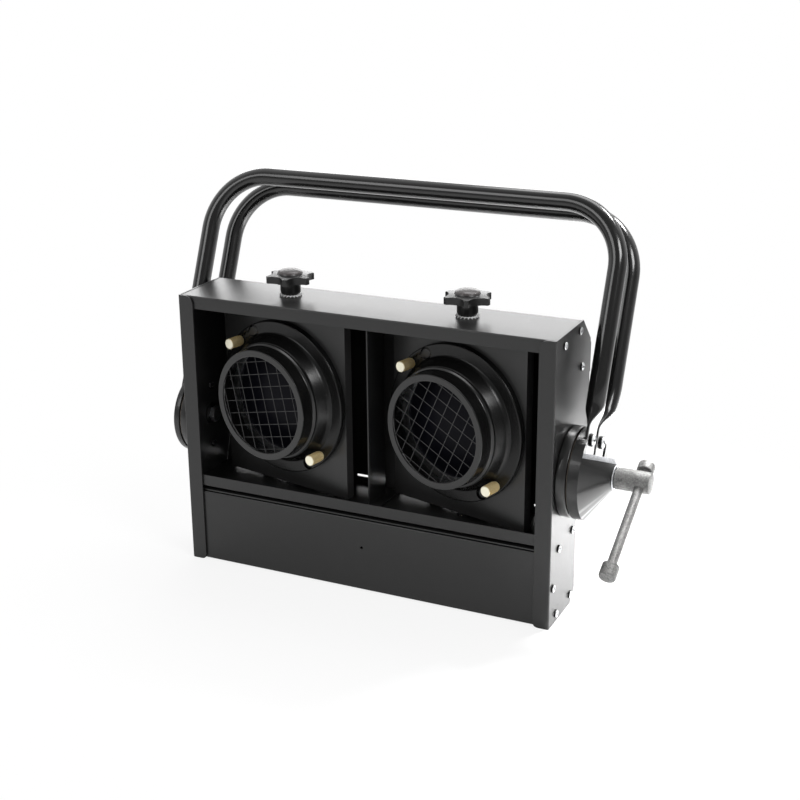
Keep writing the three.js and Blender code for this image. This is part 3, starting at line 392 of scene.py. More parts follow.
def makeCamera():
    yaw, pitch, roll = (math.radians(view[key]) for key in ("yaw", "pitch", "roll"))
    ahead = Vector((-math.sin(yaw) * math.cos(pitch), math.cos(yaw) * math.cos(pitch), -math.sin(pitch)))
    level = Vector((math.cos(yaw), math.sin(yaw), 0))
    down = ahead.cross(level)
    across = math.cos(roll) * level + math.sin(roll) * down
    below = -math.sin(roll) * level + math.cos(roll) * down
    bpy.ops.object.camera_add(location=view["place"])
    camera = bpy.context.active_object
    camera.name = "photoCamera"
    camera.matrix_world = Matrix.Translation(view["place"]) @ Matrix(
        [(across[i], -below[i], -ahead[i], 0) for i in range(3)] + [(0, 0, 0, 1)]
    )
    camera.data.sensor_width = view["sensor"]
    camera.data.lens = view["focalPixels"] / view["imagePixels"] * view["sensor"]
    camera.data.clip_start = view["nearest"]
    bpy.context.scene.camera = camera


studio = {
    "floorSize": 60,
    "floorShades": (0.9, 0.88),
    "shadowReach": (0.28, 0.6),  # metres from the middle over which the floor's own shade fades out
    "shadowShare": 0.2,  # of the floor's own shade in what the camera sees close by
    "air": 0.6,  # strength of the world where it lights the object
    "behindCamera": 0.3,  # of white that gloss sees there, while it sees full white behind the object
    "backdropSide": (-0.43, 0.9, 0),  # from the middle, away from the camera
    "backdropEdges": (-0.5, 0.4),  # of the height along that way, between which gloss turns white
    "lamps": [
        # name, place, aimed at, width, height, watts, spread in degrees
        ("leftSoftbox", (-0.85, -1.55, 1.35), (0, 0, 0.15), 0.9, 0.9, 8, 180),
        ("rightSoftbox", (1.3, -0.6, 1.4), (0, 0, 0.2), 0.7, 0.5, 12, 180),
        ("overheadPanel", (0.1, 0.9, 1.9), (0, 0, 0.2), 1.4, 1.0, 14, 180),
        ("rearPanel", (-0.9, 2.0, 0.95), (0, 0, 0.28), 1.8, 0.8, 15, 180),
        ("floorLamp", (0.5, 0.55, 0.9), (0.32, 0.22, 0), 0.2, 0.2, 4.0, 50),
    ],
}


# What sees the studio: the camera, and gloss or glass
def seenRays(net):
    path = net.tree.nodes.new("ShaderNodeLightPath")
    camera, glossy, passing = (
        Wire(net, path.outputs[name]) for name in ("Is Camera Ray", "Is Glossy Ray", "Is Transmission Ray")
    )
    return camera, net.sum("MINIMUM", glossy + passing, 1.0)


def makeStudio():
    scene = bpy.context.scene
    scene.view_settings.view_transform = "Standard"
    world = bpy.data.worlds.new("paleRoom")
    scene.world = world
    world.use_nodes = True
    net = Net.__new__(Net)
    net.tree = world.node_tree
    net.tree.nodes.clear()
    camera, gloss = seenRays(net)
    towards = net.node("TexCoord")
    behind = net.node("VectorMath", {"operation": "DOT_PRODUCT"}, {0: towards, 1: studio["backdropSide"]}, out=1)
    white = net.ease(behind, *studio["backdropEdges"], studio["behindCamera"])
    strength = camera + (1 - camera) * (gloss * white + (1 - gloss) * studio["air"])
    glow = net.node("Background", {}, {"Color": grey(1), "Strength": strength})
    net.node("OutputWorld", {}, {0: glow})

    bpy.ops.mesh.primitive_plane_add(size=studio["floorSize"], location=(0, 0, 0))
    floor = added("paleFloor")
    net = Net("paleFloorPaint")
    camera, _ = seenRays(net)
    far = net.node("VectorMath", {"operation": "LENGTH"}, {0: net.place()}, out=1)
    plain = net.ease(far, *studio["shadowReach"], 1 - studio["shadowShare"])
    shade = net.blend(net.noise(9, 4, 0.6), *(grey(value) for value in studio["floorShades"]))
    paint = net.node("BsdfDiffuse", {}, {0: shade})
    light = net.node("Emission", {}, {0: grey(1), 1: 1.0})
    both = net.node("MixShader", {}, {0: camera * plain, 1: paint, 2: light})
    net.node("OutputMaterial", {}, {0: both})
    floor.data.materials.append(net.material)

    for name, place, aim, width, height, watts, spread in studio["lamps"]:
        bpy.ops.object.light_add(type="AREA", location=place)
        lamp = bpy.context.active_object
        lamp.name = name
        lamp.data.shape = "RECTANGLE"
        lamp.data.size = width
        lamp.data.size_y = height
        lamp.data.energy = watts
        lamp.data.spread = math.radians(spread)
        lamp.rotation_euler = (Vector(aim) - Vector(place)).to_track_quat("-Z", "Y").to_euler()
        lamp.visible_camera = False


makeCamera()
makeStudio()
print("camera and studio set")


# Finishes. Patterns are read from Object coordinates, in metres
def powderCoat(name, slot, colour=0.006, rough=0.38, grain=0.2, sheen=0.5):
    net = Net(name, slot)
    peel = net.noise(900, 2, 0.5)
    pebble = net.cells(1400)
    cloud = net.noise(7, 4, 0.6)
    scuff = net.noise(160, 5, 0.7, net.place(scale=(1, 1, 0.16)))
    dust = net.ramp(net.noise(420, 3, 0.75), (0.66, 0), (0.8, 1))
    base = net.blend(cloud, grey(colour), grey(colour * 1.45))
    base = net.blend(dust * 0.07, base, (0.35, 0.34, 0.33, 1))
    worn = net.ramp(scuff, (0.58, 0), (0.75, 1))
    height = peel * 0.6 + pebble * 0.4
    return net.surface(
        base_color=base, roughness=rough + cloud * 0.07 - worn * 0.06 + peel * 0.04,
        specular_ior_level=sheen, normal=net.bump(height, grain, 0.0004),
    )


def enamel(name, slot, colour=0.003, rough=0.14, wave=0.1):
    net = Net(name, slot)
    flow = net.noise(60, 2, 0.4)
    peel = net.noise(520, 2, 0.5)
    speck = net.ramp(net.noise(700, 3, 0.8), (0.7, 0), (0.78, 1))
    smear = net.noise(24, 4, 0.65, net.place(scale=(1, 1, 0.35)))
    base = net.blend(speck * 0.12, grey(colour), (0.2, 0.19, 0.18, 1))
    return net.surface(
        base_color=base, roughness=rough + smear * 0.1 + speck * 0.25, coat_weight=0.25 + smear * 0.2,
        coat_roughness=0.06, normal=net.bump(flow * 0.6 + peel * 0.4, wave, 0.0005),
    )


def plated(name, slot, colour, dark, rough=0.3, grain=500, strength=0.2, metal=1.0, mark=None):
    net = Net(name, slot)
    cloud = net.noise(90, 4, 0.65)
    fine = net.noise(grain, 3, 0.7)
    pits = net.ramp(net.noise(grain * 1.7, 2, 0.6), (0.3, 0), (0.45, 1))
    tone = net.blend(net.ramp(cloud * 0.4 + fine * 0.6, (0.38, 0), (0.62, 1)), dark, colour)
    return net.surface(
        base_color=net.marked(tone, mark), metallic=metal, roughness=rough + fine * 0.22 + cloud * 0.06,
        normal=net.bump(fine * 0.7 + pits * 0.3, strength, 0.0003),
    )


def moulded(name, slot, colour, rough, grain=1100, strength=0.15, mark=None):
    net = Net(name, slot)
    leather = net.cells(grain)
    cloud = net.noise(40, 3, 0.6)
    base = net.blend(cloud, colour, tuple(c * 1.3 for c in colour[:3]) + (1,))
    return net.surface(
        base_color=net.marked(base, mark), roughness=rough + cloud * 0.12,
        normal=net.bump(leather, strength, 0.0003),
    )


# painted shade: the lens is opaque and near black with little sheen, standing in for the dark lamp inside in place of
# clear glass
def shadedLensGlass(name, slot):
    net = Net(name, slot)
    stipple = net.cells(330)
    haze = net.noise(35, 4, 0.6)
    base = net.blend(haze, (0.002, 0.002, 0.0035, 1), (0.004, 0.004, 0.007, 1))
    return net.surface(
        base_color=base, roughness=0.3 + haze * 0.1, specular_ior_level=0.07,
        normal=net.bump(stipple, 0.05, 0.0004),
    )


finish = {
    "housing": powderCoat("satinBlackCoat", "satin_black", colour=0.01, rough=0.27),
    "lampBlack": powderCoat("lampModuleBlack", "black_aluminium", 0.003, rough=0.18, grain=0.08, sheen=0.6),
    "frameBlack": powderCoat("lampFrameBlack", "black_aluminium", 0.012, rough=0.3),
    # a shaded copy of the module black: half the sheen, so the ring renders darker than the snout
    "ringBlackShaded": powderCoat("lampRingBlack", "black_aluminium", 0.003, rough=0.2, grain=0.08, sheen=0.3),
    "tube": enamel("tubeEnamel", "gloss_black_tube"),
    "clutch": enamel("clutchEnamel", "gloss_black_tube", 0.004, rough=0.3, wave=0.2),
    "wire": enamel("guardWireEnamel", "gloss_black_tube", 0.02, rough=0.25),
    "zinc": plated("zincPlate", "zinc", (0.72, 0.73, 0.75, 1), (0.5, 0.51, 0.53, 1), rough=0.2),
    "steel": plated(
        "grainySteel", "plain_steel", (0.24, 0.24, 0.235, 1), (0.08, 0.08, 0.078, 1), 0.42, 620, 0.7, metal=0.5
    ),
    # painted shade: screwZinc darkens the points marked recess, the cross and the rim of each head, to near black
    "screw": plated(
        "screwZinc", "zinc", (0.85, 0.86, 0.87, 1), (0.6, 0.61, 0.62, 1), 0.25, metal=0.8, mark=("recess", grey(0.01))
    ),
    # painted highlight: the spring washer is painted white, so its teeth look as if they catch the light from above
    "toothed": plated("springZincPaintedGlint", "zinc", grey(1), grey(0.95), strength=0.1, metal=0.2),
    "blackened": plated(
        "blackenedSteel", "plain_steel", (0.03, 0.03, 0.032, 1), (0.012, 0.012, 0.013, 1), 0.12,
        strength=0.1, metal=0.6,
    ),
    # painted highlight: the thumbscrew's end face is painted pale cream, standing in for the light it catches
    "brass": plated(
        "bareBrass", "brass", (0.9, 0.76, 0.46, 1), (0.72, 0.58, 0.3, 1), 0.22, 700, 0.5, 0.6,
        mark=("endFace", (1, 0.96, 0.78, 1)),
    ),
    "spring": plated("springWire", "plain_steel", grey(0.3), grey(0.16), 0.35, 700),
    "silver": plated("silveredBowl", "lamp_glass", (0.62, 0.62, 0.6, 1), (0.48, 0.48, 0.46, 1), 0.16, 160, 0.1),
    "knob": moulded("knobPlastic", "black_plastic", grey(0.005), 0.24, mark=("cap", (0.055, 0.048, 0.048, 1))),
    "gland": moulded("glandNylon", "black_plastic", (0.012, 0.012, 0.013, 1), 0.28),
    "nylon": moulded("whiteNylon", "nylon", (0.62, 0.61, 0.56, 1), 0.45),
    "ceramic": moulded("blockCeramic", "nylon", (0.6, 0.58, 0.53, 1), 0.35, 700),
    "fibre": moulded("frictionFibre", "fibre", (0.09, 0.075, 0.06, 1), 0.85, 900, 0.5),
    "rubber": moulded("siliconeRubber", "silicone", (0.02, 0.02, 0.021, 1), 0.6, 800),
    "lens": shadedLensGlass("lensPaintedShade", "lamp_glass"),
}
print("finishes mixed:", len(finish))

# Folded sheet: the CAD node's mesh, merged, with its folds rounded and its cut edges broken
sheetWork = {
    "merge": 2e-6,
    "flat": 0.4,  # degrees within which faces lie in one plane
    "foldRadius": 0.0016,
    "shortestFold": 0.02,
    "onBox": 2e-5,  # how near a fold line lies to the side of the piece's box
    "edgeBreak": 0.00022,
    "upstand": 0.014,  # height of the shelf's lower edge under its front fold
    "nodes": [
        "side_plate_right", "side_plate_left", "top_cover", "rear_panel", "lamp_shelf", "front_panel",
        "bottom_cover", "divider", "lamp_frame_left", "lamp_frame_right",
    ],
}


def mergedCopy(node, name):
    piece = copyOf(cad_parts[node], name)
    startEdit(piece, action="SELECT")
    bpy.ops.mesh.remove_doubles(threshold=sheetWork["merge"])
    bpy.ops.mesh.dissolve_limited(angle_limit=math.radians(sheetWork["flat"]))
    endEdit()
    return piece


# Rounds the long outer fold that runs along one axis where the other two have the corner's values
def roundFold(piece, axis, corner):
    startEdit(piece, "EDGE")

    def onFold(edge):
        run = (edge.verts[0].co - edge.verts[1].co).normalized()
        spot = middle(edge)
        return (
            abs(run[axis]) > 0.99
            and edge.calc_length() > sheetWork["shortestFold"]
            and all(abs(spot[i] - value) < sheetWork["onBox"] for i, value in corner.items())
        )

    if pick("EDGE", onFold):
        bpy.ops.mesh.bevel(
            offset=sheetWork["foldRadius"], segments=4, profile=0.5, affect="EDGES", clamp_overlap=True
        )
    endEdit()


def makeSheets():
    x, y, z = 0, 1, 2
    for node in sheetWork["nodes"]:
        piece = mergedCopy(node, node + "_sheet")
        low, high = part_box(node)
        folds = {
            "side_plate_right": (z, {x: high.x, y: low.y}),
            "side_plate_left": (z, {x: low.x, y: low.y}),
            "top_cover": (x, {y: low.y, z: high.z}),
            "front_panel": (x, {y: low.y, z: high.z}),
            "lamp_shelf": (x, {y: low.y, z: low.z + sheetWork["upstand"]}),
            "bottom_cover": (x, {y: low.y, z: low.z}),
        }
        if node in folds:
            roundFold(piece, *folds[node])
        softenEdges(piece, sheetWork["edgeBreak"], 25, 2)
        body, key = "housing", "housing"
        if node.startswith("lamp_frame"):
            body, key = node.replace("_frame", ""), "frameBlack"
        dress(piece, body, key, [node], 35)
        modify(piece, "WEIGHTED_NORMAL", keep_sharp=True)
    print("sheet pieces rounded:", len(sheetWork["nodes"]))


makeSheets()

# The edge of the lower box's lid, which shows in the groove under the crossbar
lid = {"halfWidth": 198, "low": 79.2, "high": 80.7, "front": 3, "back": 13}


def makeLid():
    half = lid["halfWidth"]
    sheet = blockPiece("lower_box_lid", (-half, lid["front"], lid["low"]), (half, lid["back"], lid["high"]))
    softenEdges(sheet, 0.3, 35, 2)
    finishPiece(sheet, "housing", "housing", "housing")


makeLid()
print("lid set in its groove")

# Tilt clutch on the right and pivot on the left, turned along X from the tilt axis
clutch = {
    "drumBack": 201.5,
    "drumFace": 212.0,
    "drumRadius": {"right": 44.5, "left": 42},
    "spigot": (11, 197.5),
    "bore": 6.4,
    "rimBevel": 1.1,
    "discBack": 213.5,
    "discFace": 224.2,
    "discRadius": 45,
    "tip": (12.5, 246.0),
    "flat": 12.6,
    "pocket": (220.0, 32.6, 17.7),
    "wedge": (224.5, 245.7, 12.9, 17.7),
    "pivotDisc": (42, 213.5, 220.0),
    "edgeBevel": 0.5,
}


def makeDrums():
    for side, sign in (("right", 1), ("left", -1)):
        radius = clutch["drumRadius"][side]
        back, face, bevel = clutch["drumBack"], clutch["drumFace"], clutch["rimBevel"]
        spigotRadius, spigotEnd = clutch["spigot"]
        profile = [
            (radius - bevel, back), (radius, back + bevel), *roundRim(radius, face, bevel),
            (clutch["bore"], face), (clutch["bore"], spigotEnd), (spigotRadius, spigotEnd),
            (spigotRadius, back), (radius - bevel, back),
        ]
        drum = turnPiece(f"drum_{side}", [(r, sign * x) for r, x in profile], "x", 128)
        softenEdges(drum, 0.25, 40, 2)
        node = "clutch_drum" if side == "right" else "pivot_drum"
        finishPiece(drum, "tilt", "housing", "clutch", [node], 50)


def coneBlank(name):
    tipRadius, tipX = clutch["tip"]
    bore, outer, bevel = clutch["bore"], clutch["discRadius"], clutch["edgeBevel"]
    back, face = clutch["discBack"], clutch["discFace"]
    profile = [
        (bore, back), (outer - bevel, back), (outer, back + bevel), (outer, face), (tipRadius, tipX),
        (bore, tipX), (bore, back),
    ]
    return turnPiece(name, profile, "x", 128)


def makeCone():
    cone = coneBlank("clutch_cone_body")
    pocketX, pocketHalf, pocketBottom = clutch["pocket"]
    above = blockPiece("cutAbove", (clutch["discFace"], -60, clutch["flat"]), (260, 60, 60))
    pocket = blockPiece("cutPocket", (pocketX, -pocketHalf, pocketBottom), (260, pocketHalf, 60))
    cutWith(cone, above, pocket)
    softenEdges(cone, 0.45, 28, 3)
    finishPiece(cone, "yoke", "yoke", "clutch", ["clutch_cone"], 30)

    back, front, bottom, top = clutch["wedge"]
    wedge = coneBlank("arm_wedge_body")
    slab = blockPiece("keepSlab", (back, -60, bottom), (front, 60, top))
    cutWith(wedge, slab, operation="INTERSECT")
    softenEdges(wedge, 0.3, 28, 2)
    finishPiece(wedge, "yoke", "yoke", "zinc", ["arm_wedge"], 30)

    radius, back, face = clutch["pivotDisc"]
    profile = ringProfile(clutch["bore"], radius, back, face, clutch["edgeBevel"])
    disc = turnPiece("pivot_disc_body", [(r, -x) for r, x in profile], "x", 128)
    softenEdges(disc, 0.3, 40, 2)
    finishPiece(disc, "yoke", "yoke", "clutch", ["pivot_disc"], 40)


makeDrums()
makeCone()
print("drums, cone and disc turned")

spindle = {
    "inner": 190,
    "rodRadius": 6,
    "bossRadius": 10.5,
    "bossBack": 247.9,
    "bossEnd": 281.5,
    "bossBevel": 1.0,
    "washer": (6.4, 12, 246.3, 247.6, 0.3),
    "bar": (0, 4.5, -110, 18, 0.5),
    "barHole": 4.8,
    "nearCap": (12.4, 21.6),
    "farCap": (-99.4, -113.4),
    "capRadius": 8,
    "capBore": 4.8,
    "capBevel": 1.4,
    "capBottom": 3,
}


def makeSpindle():
    rod, boss = spindle["rodRadius"], spindle["bossRadius"]
    inner, back, end = spindle["inner"], spindle["bossBack"], spindle["bossEnd"]
    profile = [
        (0, inner), (rod - 1, inner), (rod, inner + 1), (rod, back), (boss - 0.5, back), (boss, back + 0.5),
        *roundRim(boss, end, spindle["bossBevel"]), (0, end),
    ]
    body = turnPiece("spindle_boss", profile, "x", 96)
    x, angle = setting["bar"]
    along = Vector((0, math.sin(math.radians(angle)), math.cos(math.radians(angle)))) * 20
    centre = Vector((x, 0, 0))
    cutWith(body, rodPiece("cutBarHole", spindle["barHole"], centre - along, centre + along, 64))
    softenEdges(body, 0.3, 32, 2)
    finishPiece(body, "tilt", "clutch_spindle", "steel", ["clutch_spindle"], 35)

    washer = turnPiece("thrust_washer_ring", ringProfile(*spindle["washer"]), "x", 72)
    finishPiece(washer, "tilt", "clutch_washer", "zinc", ["thrust_washer"], 40)


def makeBar():
    # no last point: a rod's chain ends on its own axis
    rod = turnPiece("t_bar_rod", ringProfile(*spindle["bar"])[:-1], "z", 64)
    finishPiece(rod, "bar", "t_bar", "steel", ["t_bar"], 35)
    for name, (face, end), node in (
        ("bar_cap_near_knob", spindle["nearCap"], "bar_cap_near"),
        ("bar_cap_far_knob", spindle["farCap"], "bar_cap_far"),
    ):
        way = 1 if end > face else -1
        outer, bore, bottom = spindle["capRadius"], spindle["capBore"], end - way * spindle["capBottom"]
        profile = [
            (bore, face), (outer - 0.6, face), (outer, face + way * 0.6),
            *roundRim(outer, end, spindle["capBevel"], way), (0, end), (0, bottom), (bore, bottom), (bore, face),
        ]
        cap = turnPiece(name, profile, "z", 64)
        finishPiece(cap, "bar", "t_bar", "steel", [node], 35)


makeSpindle()
makeBar()
print("spindle and T-bar turned")


# Yoke: each tube is one run, bent over the top and pressed flat at both ends
tube = {
    "radius": 9.1,
    "halfWidth": 223.7,
    "height": 253.7,
    "bendRadius": 60,
    "roundFrom": 88,
    "tabTop": 43,
    "tabBottom": 18,
    "tabX": 221.7,
    "tabHalfWidth": 15.2,
    "tabHalfThickness": 1.4,
    "tabCentre": 16.6,
    "spacing": 24.5,
    "sides": 48,
    "pressSteps": 18,
    "pressFrom": 0.5,  # of the way down, where the section starts to flatten
    "squareness": 1.1,  # how much flatter than an oval the pressed end is
    "bendSteps": 20,
    "drain": 2.5,
}


def easeBetween(share):
    return share * share * (3 - 2 * share)


# The loop of points at one height, which the next step works on
def pickLoop(height):
    pick("VERT", lambda v: abs(v.co.z - height) < 1e-3)


# Presses a loop flat: squeezed, spread, and levelled at the face it would bulge past
def pressLoop(height, centre, squeeze, spread, limit):
    bpy.ops.transform.resize(value=(squeeze, spread, 1), center_override=centre)
    for way in (1, -1):
        face = centre[0] + way * limit
        if pick("VERT", lambda v: abs(v.co.z - height) < 1e-3 and way * (v.co.x - face) > 1e-4):
            bpy.ops.transform.resize(value=(0, 1, 1), center_override=(face, centre[1], height))
    pickLoop(height)


def makeTube(side):
    where = side * tube["spacing"]
    bend, top, half = tube["bendRadius"], tube["height"], tube["halfWidth"]
    bpy.ops.mesh.primitive_circle_add(
        vertices=tube["sides"], radius=tube["radius"], fill_type="NOTHING", location=(0, where, top),
        rotation=(0, quarter, 0),
    )
    piece = applyPlace(added("yoke_tube_run"))
    startEdit(piece, action="SELECT")
    extrudeBy(half - bend, 0, 0)
    centre = (half - bend, where, top - bend)
    bpy.ops.mesh.spin(steps=tube["bendSteps"], angle=quarter, center=centre, axis=(0, -1, 0))
    pickLoop(top - bend)
    extrudeBy(0, 0, tube["roundFrom"] - (top - bend))

    height, centreX, centreY = tube["roundFrom"], half, where
    wide = bulge = tube["radius"]
    drop = (tube["roundFrom"] - tube["tabTop"]) / tube["pressSteps"]
    for step in range(1, tube["pressSteps"] + 1):
        share = step / tube["pressSteps"]
        over = easeBetween(share)
        flat = easeBetween(max(0, share - tube["pressFrom"]) / (1 - tube["pressFrom"]))
        newX = half + (tube["tabX"] - half) * over
        newY = side * (tube["spacing"] + (tube["tabCentre"] - tube["spacing"]) * over)
        newThick = tube["radius"] + (tube["tabHalfThickness"] - tube["radius"]) * flat
        newWide = tube["radius"] + (tube["tabHalfWidth"] - tube["radius"]) * flat
        newBulge = newThick * (1 + tube["squareness"] * flat)
        extrudeBy(newX - centreX, newY - centreY, -drop)
        height -= drop
        centreX, centreY = newX, newY
        pressLoop(height, (newX, newY, height), newBulge / bulge, newWide / wide, newThick)
        wide, bulge = newWide, newBulge
    extrudeBy(0, 0, tube["tabBottom"] - height)
    pickLoop(tube["tabBottom"])
    bpy.ops.mesh.edge_face_add()
    bpy.ops.mesh.inset(thickness=0.25, depth=0)
    endEdit()
    modify(piece, "MIRROR", use_axis=(True, False, False), use_mirror_merge=True, merge_threshold=0.01)
    closeUp(piece, 1e-4)
    for end in (-1, 1):
        z = tube["roundFrom"] + tube["radius"]
        cutWith(piece, rodPiece("cutDrain", tube["drain"], (end * half, where, z), (end * half, where + 12, z), 32))
    name = "yoke_tube_front" if side < 0 else "yoke_tube_rear"
    piece.name = name + "_bent"
    finishPiece(piece, "yoke", "yoke", "tube", [name], 40)


makeTube(-1)
makeTube(1)
print("yoke tubes bent")

# Pan-head cross-recess screw, made once and copied
screw = {
    "radius": 4.0,
    "rise": 2.4,
    "shape": [
        (0, 0), (1, 0), (1, 0.28), (0.97, 0.48), (0.88, 0.7), (0.72, 0.87), (0.5, 0.96), (0.25, 0.995), (0, 1),
    ],
    "recessArm": 3.2,
    "recessWidth": 1.5,
    "recessDepth": 1.1,
    "recessTurn": 20,
    "recessTaper": (1, 0.85, 0.8),  # of the slots' own size at the bottom
    "sideSpots": [
        (23.5, 279.5), (66.8, 282.2), (75.2, 244.5), (61.9, 80.3), (22.7, 76.5), (9, 40.5), (61.3, 10.2), (20, 8.6),
    ],
    "wall": 201.2,
    "innerWall": 199.2,
    "innerSpots": [(48, 179.6), (48, 114.1)],
    "tubeSpots": (17, 31.4),
    "tubeFace": 223.1,
    "tubeHead": (6.2, 3.7),
    "spinStep": 1.3,
}


# A head standing on x = 0 with its top towards +X, its recess in proportion to its size
def screwHead(name, radius, rise):
    head = turnPiece(name, [(radius * r, rise * x) for r, x in screw["shape"]], "x", 40)
    size = radius / screw["radius"]
    arm, width = screw["recessArm"] * size, screw["recessWidth"] * size
    depth = screw["recessDepth"] * rise / screw["rise"]
    for tilted in (0, quarter):
        slot = blockPiece("cutSlot", (rise - depth, -arm, -width / 2), (rise + 1, arm, width / 2))
        startEdit(slot, "FACE")
        pick("FACE", lambda f: f.normal.x < -0.9)
        bpy.ops.transform.resize(value=screw["recessTaper"], center_override=(rise - depth, 0, 0))
        endEdit()
        moveMesh(slot, angles=(tilted + math.radians(screw["recessTurn"]), 0, 0))
        cutWith(head, slot)
    softenEdges(head, 0.07 * size, 40, 1)

    # painted shade: the finish darkens the cross and the rim, where shade in the recess and the contact shadow at the
    # rim fall
    def inPaintedShade(co):
        inCross = co.x < 0.8 * rise and math.hypot(co.y, co.z) < 0.82 * radius
        return inCross or co.x < 0.5 * rise

    markPoints(head, "recess", inPaintedShade)
    return head


# One copy of a head, turned by spin and facing +X or -X
def setScrew(master, name, spin, place, facing, group, key, nodes=()):
    head = copyOf(master, name)
    moveMesh(head, angles=(spin, 0, 0))
    moveMesh(head, place, (0, 0, 0 if facing > 0 else math.pi))
    finishPiece(head, group, group, key, nodes)


def makeScrews():
    small = screwHead("screwMaster", screw["radius"], screw["rise"])
    large = screwHead("tubeScrewMaster", *screw["tubeHead"])
    spread, up = screw["tubeSpots"]
    sides = {"right": 1, "left": -1}
    number = 0
    for word, side in sides.items():
        for i, (y, z) in enumerate(screw["sideSpots"]):
            spin = (number * screw["spinStep"]) % turn
            place = (side * screw["wall"], y, z)
            setScrew(small, f"side_screw_{word}_{i + 1}", spin, place, side, "housing", "screw")
            number += 1
        for i, (y, z) in enumerate(screw["innerSpots"]):
            place = (side * screw["innerWall"], y, z)
            setScrew(small, f"drum_screw_{word}_{i + 1}", 0, place, -side, "housing", "blackened")
    for word, side in sides.items():
        for end, where in ((-1, "front"), (1, "rear")):
            place = (side * screw["tubeFace"], end * spread, up)
            node = f"tube_bolt_{word}_{where}"
            setScrew(large, f"tube_screw_{word}_{where}", 0.5 * end + 0.3, place, side, "yoke", "screw", [node])
    drop(small, large)


makeScrews()
print("screws set")

# Bolt and nut of the left pivot
pivot = {
    "headRadius": 9,
    "head": (192.2, 197.2),
    "nutRadius": 11,
    "nut": (220.3, 229.8),
    "rod": (6, 192.2, 232.8),
    "nutBore": 6.3,
    "threadPitch": 1.75,
}


# A hexagon along -X, with its corners turned off on the near or on the far face
def hexPiece(name, radius, near, far, chamferFar):
    bpy.ops.mesh.primitive_cylinder_add(vertices=6, radius=radius, depth=far - near, rotation=(0, quarter, 0))
    body = added(name)
    moveMesh(body, (-(near + far) / 2, 0, 0), body.rotation_euler.copy())
    flat = radius * hexFlat
    off = (radius - flat) * 0.62
    past = radius + 0.01
    if chamferFar:
        profile = [(0, near), (past, near), (past, far - off), (flat, far), (0, far)]
    else:
        profile = [(0, near), (flat, near), (past, near + off), (past, far), (0, far)]
    keep = turnPiece("keepTurned", [(r, -x) for r, x in profile], "x", 96)
    return cutWith(body, keep, operation="INTERSECT")


def makePivot():
    near, far = pivot["nut"]
    nut = hexPiece("pivot_nut_hex", pivot["nutRadius"], near, far, True)
    cutWith(nut, rodPiece("cutNutBore", pivot["nutBore"], (-near + 5, 0, 0), (-far - 5, 0, 0), 64))
    softenEdges(nut, 0.25, 32, 2)
    finishPiece(nut, "tilt", "housing", "zinc", ["pivot_nut"], 30)

    head = hexPiece("pivot_bolt_head", pivot["headRadius"], *pivot["head"], False)
    radius, start, end = pivot["rod"]
    pitch = pivot["threadPitch"]
    place = far - 6  # the thread starts inside the nut
    profile = [(0, start + 1), (radius, start + 1), (radius, place)]
    while place + pitch < end - 0.6:
        profile += [(radius - 0.75, place + pitch * 0.5), (radius, place + pitch)]
        place += pitch
    profile += [(radius - 0.9, end), (0, end)]
    rod = turnPiece("pivotRod", [(r, -x) for r, x in profile], "x", 64)
    bolt = joinPieces("pivot_bolt_body", [head, rod])
    finishPiece(bolt, "tilt", "housing", "zinc", ["pivot_bolt"], 30)


makePivot()
print("left pivot made")


# Lamp module, turned along -Y from the lamp's own axis: places are measured forwards from the pan axis
lampModule = {
    "ring": [
        (79.6, 14.3), (79.6, 19.8), (79.4, 20.5), (79.0, 20.9), (78.4, 21.0), (78.0, 21.0), (68.6, 21.0),
        (68.0, 21.05), (67.3, 21.4), (66.5, 22.2), (65.7, 23.2), (65.2, 24.0), (64.9, 24.7), (64.7, 25.2),
        (61.2, 33.6), (61.0, 34.0), (60.6, 34.6), (60.0, 34.8), (58.9, 34.8), (58.9, 34.2), (63.3, 23.6),
        (66.6, 19.6), (78.1, 19.5), (78.1, 14.3), (79.6, 14.3),
    ],
    "screwCircle": 73,
    "screwAngles": {"upper": 135, "lower": -45},
    "slotHalf": 3,
    "eye": 6,
    "twist": 17,
    "snout": [
        (58.5, 29.5), (58.5, 35.1), (59.7, 35.1), (60.0, 35.4), (60.0, 36.6), (59.6, 37.0), (58.6, 37.2),
        (58.0, 37.7), (57.7, 38.4), (57.68, 38.9), (57.23, 51.2), (57.2, 51.7), (57.0, 52.2), (56.4, 52.5),
        (56.0, 52.5), (51.1, 52.5), (50.7, 52.5), (50.3, 52.2), (50.3, 51.3),
        (50.6, 51.0), (55.5, 51.0), (56.2, 38.4), (57.0, 35.1), (57.0, 29.5), (58.5, 29.5),
    ],
    "guardHoop": (53.8, 1.3, 49.35),
    "guardWire": 0.36,
    "guardPitch": 13,
    "guardEdge": 3,
    "guardFront": 50.1,
    "guardBack": 48.6,
    # how far the mesh is turned, and how far its wires lie off the middle
    "guardPlace": {"left": (13, 5.3, 5.3), "right": (-25, 1, 6)},
    "clip": (54.2, 1.0, 46.85, 18),
    "lens": (57, 53.4, 16.7, 21.8, 6.5),
    "bowl": (52.6, 42),
    "neck": (13, 4),
    "glass": 3,
    "posts": (3.5, 8, 8),
}


def alongLamp(name, profile, steps=128):
    return turnPiece(name, profile, "y", steps)


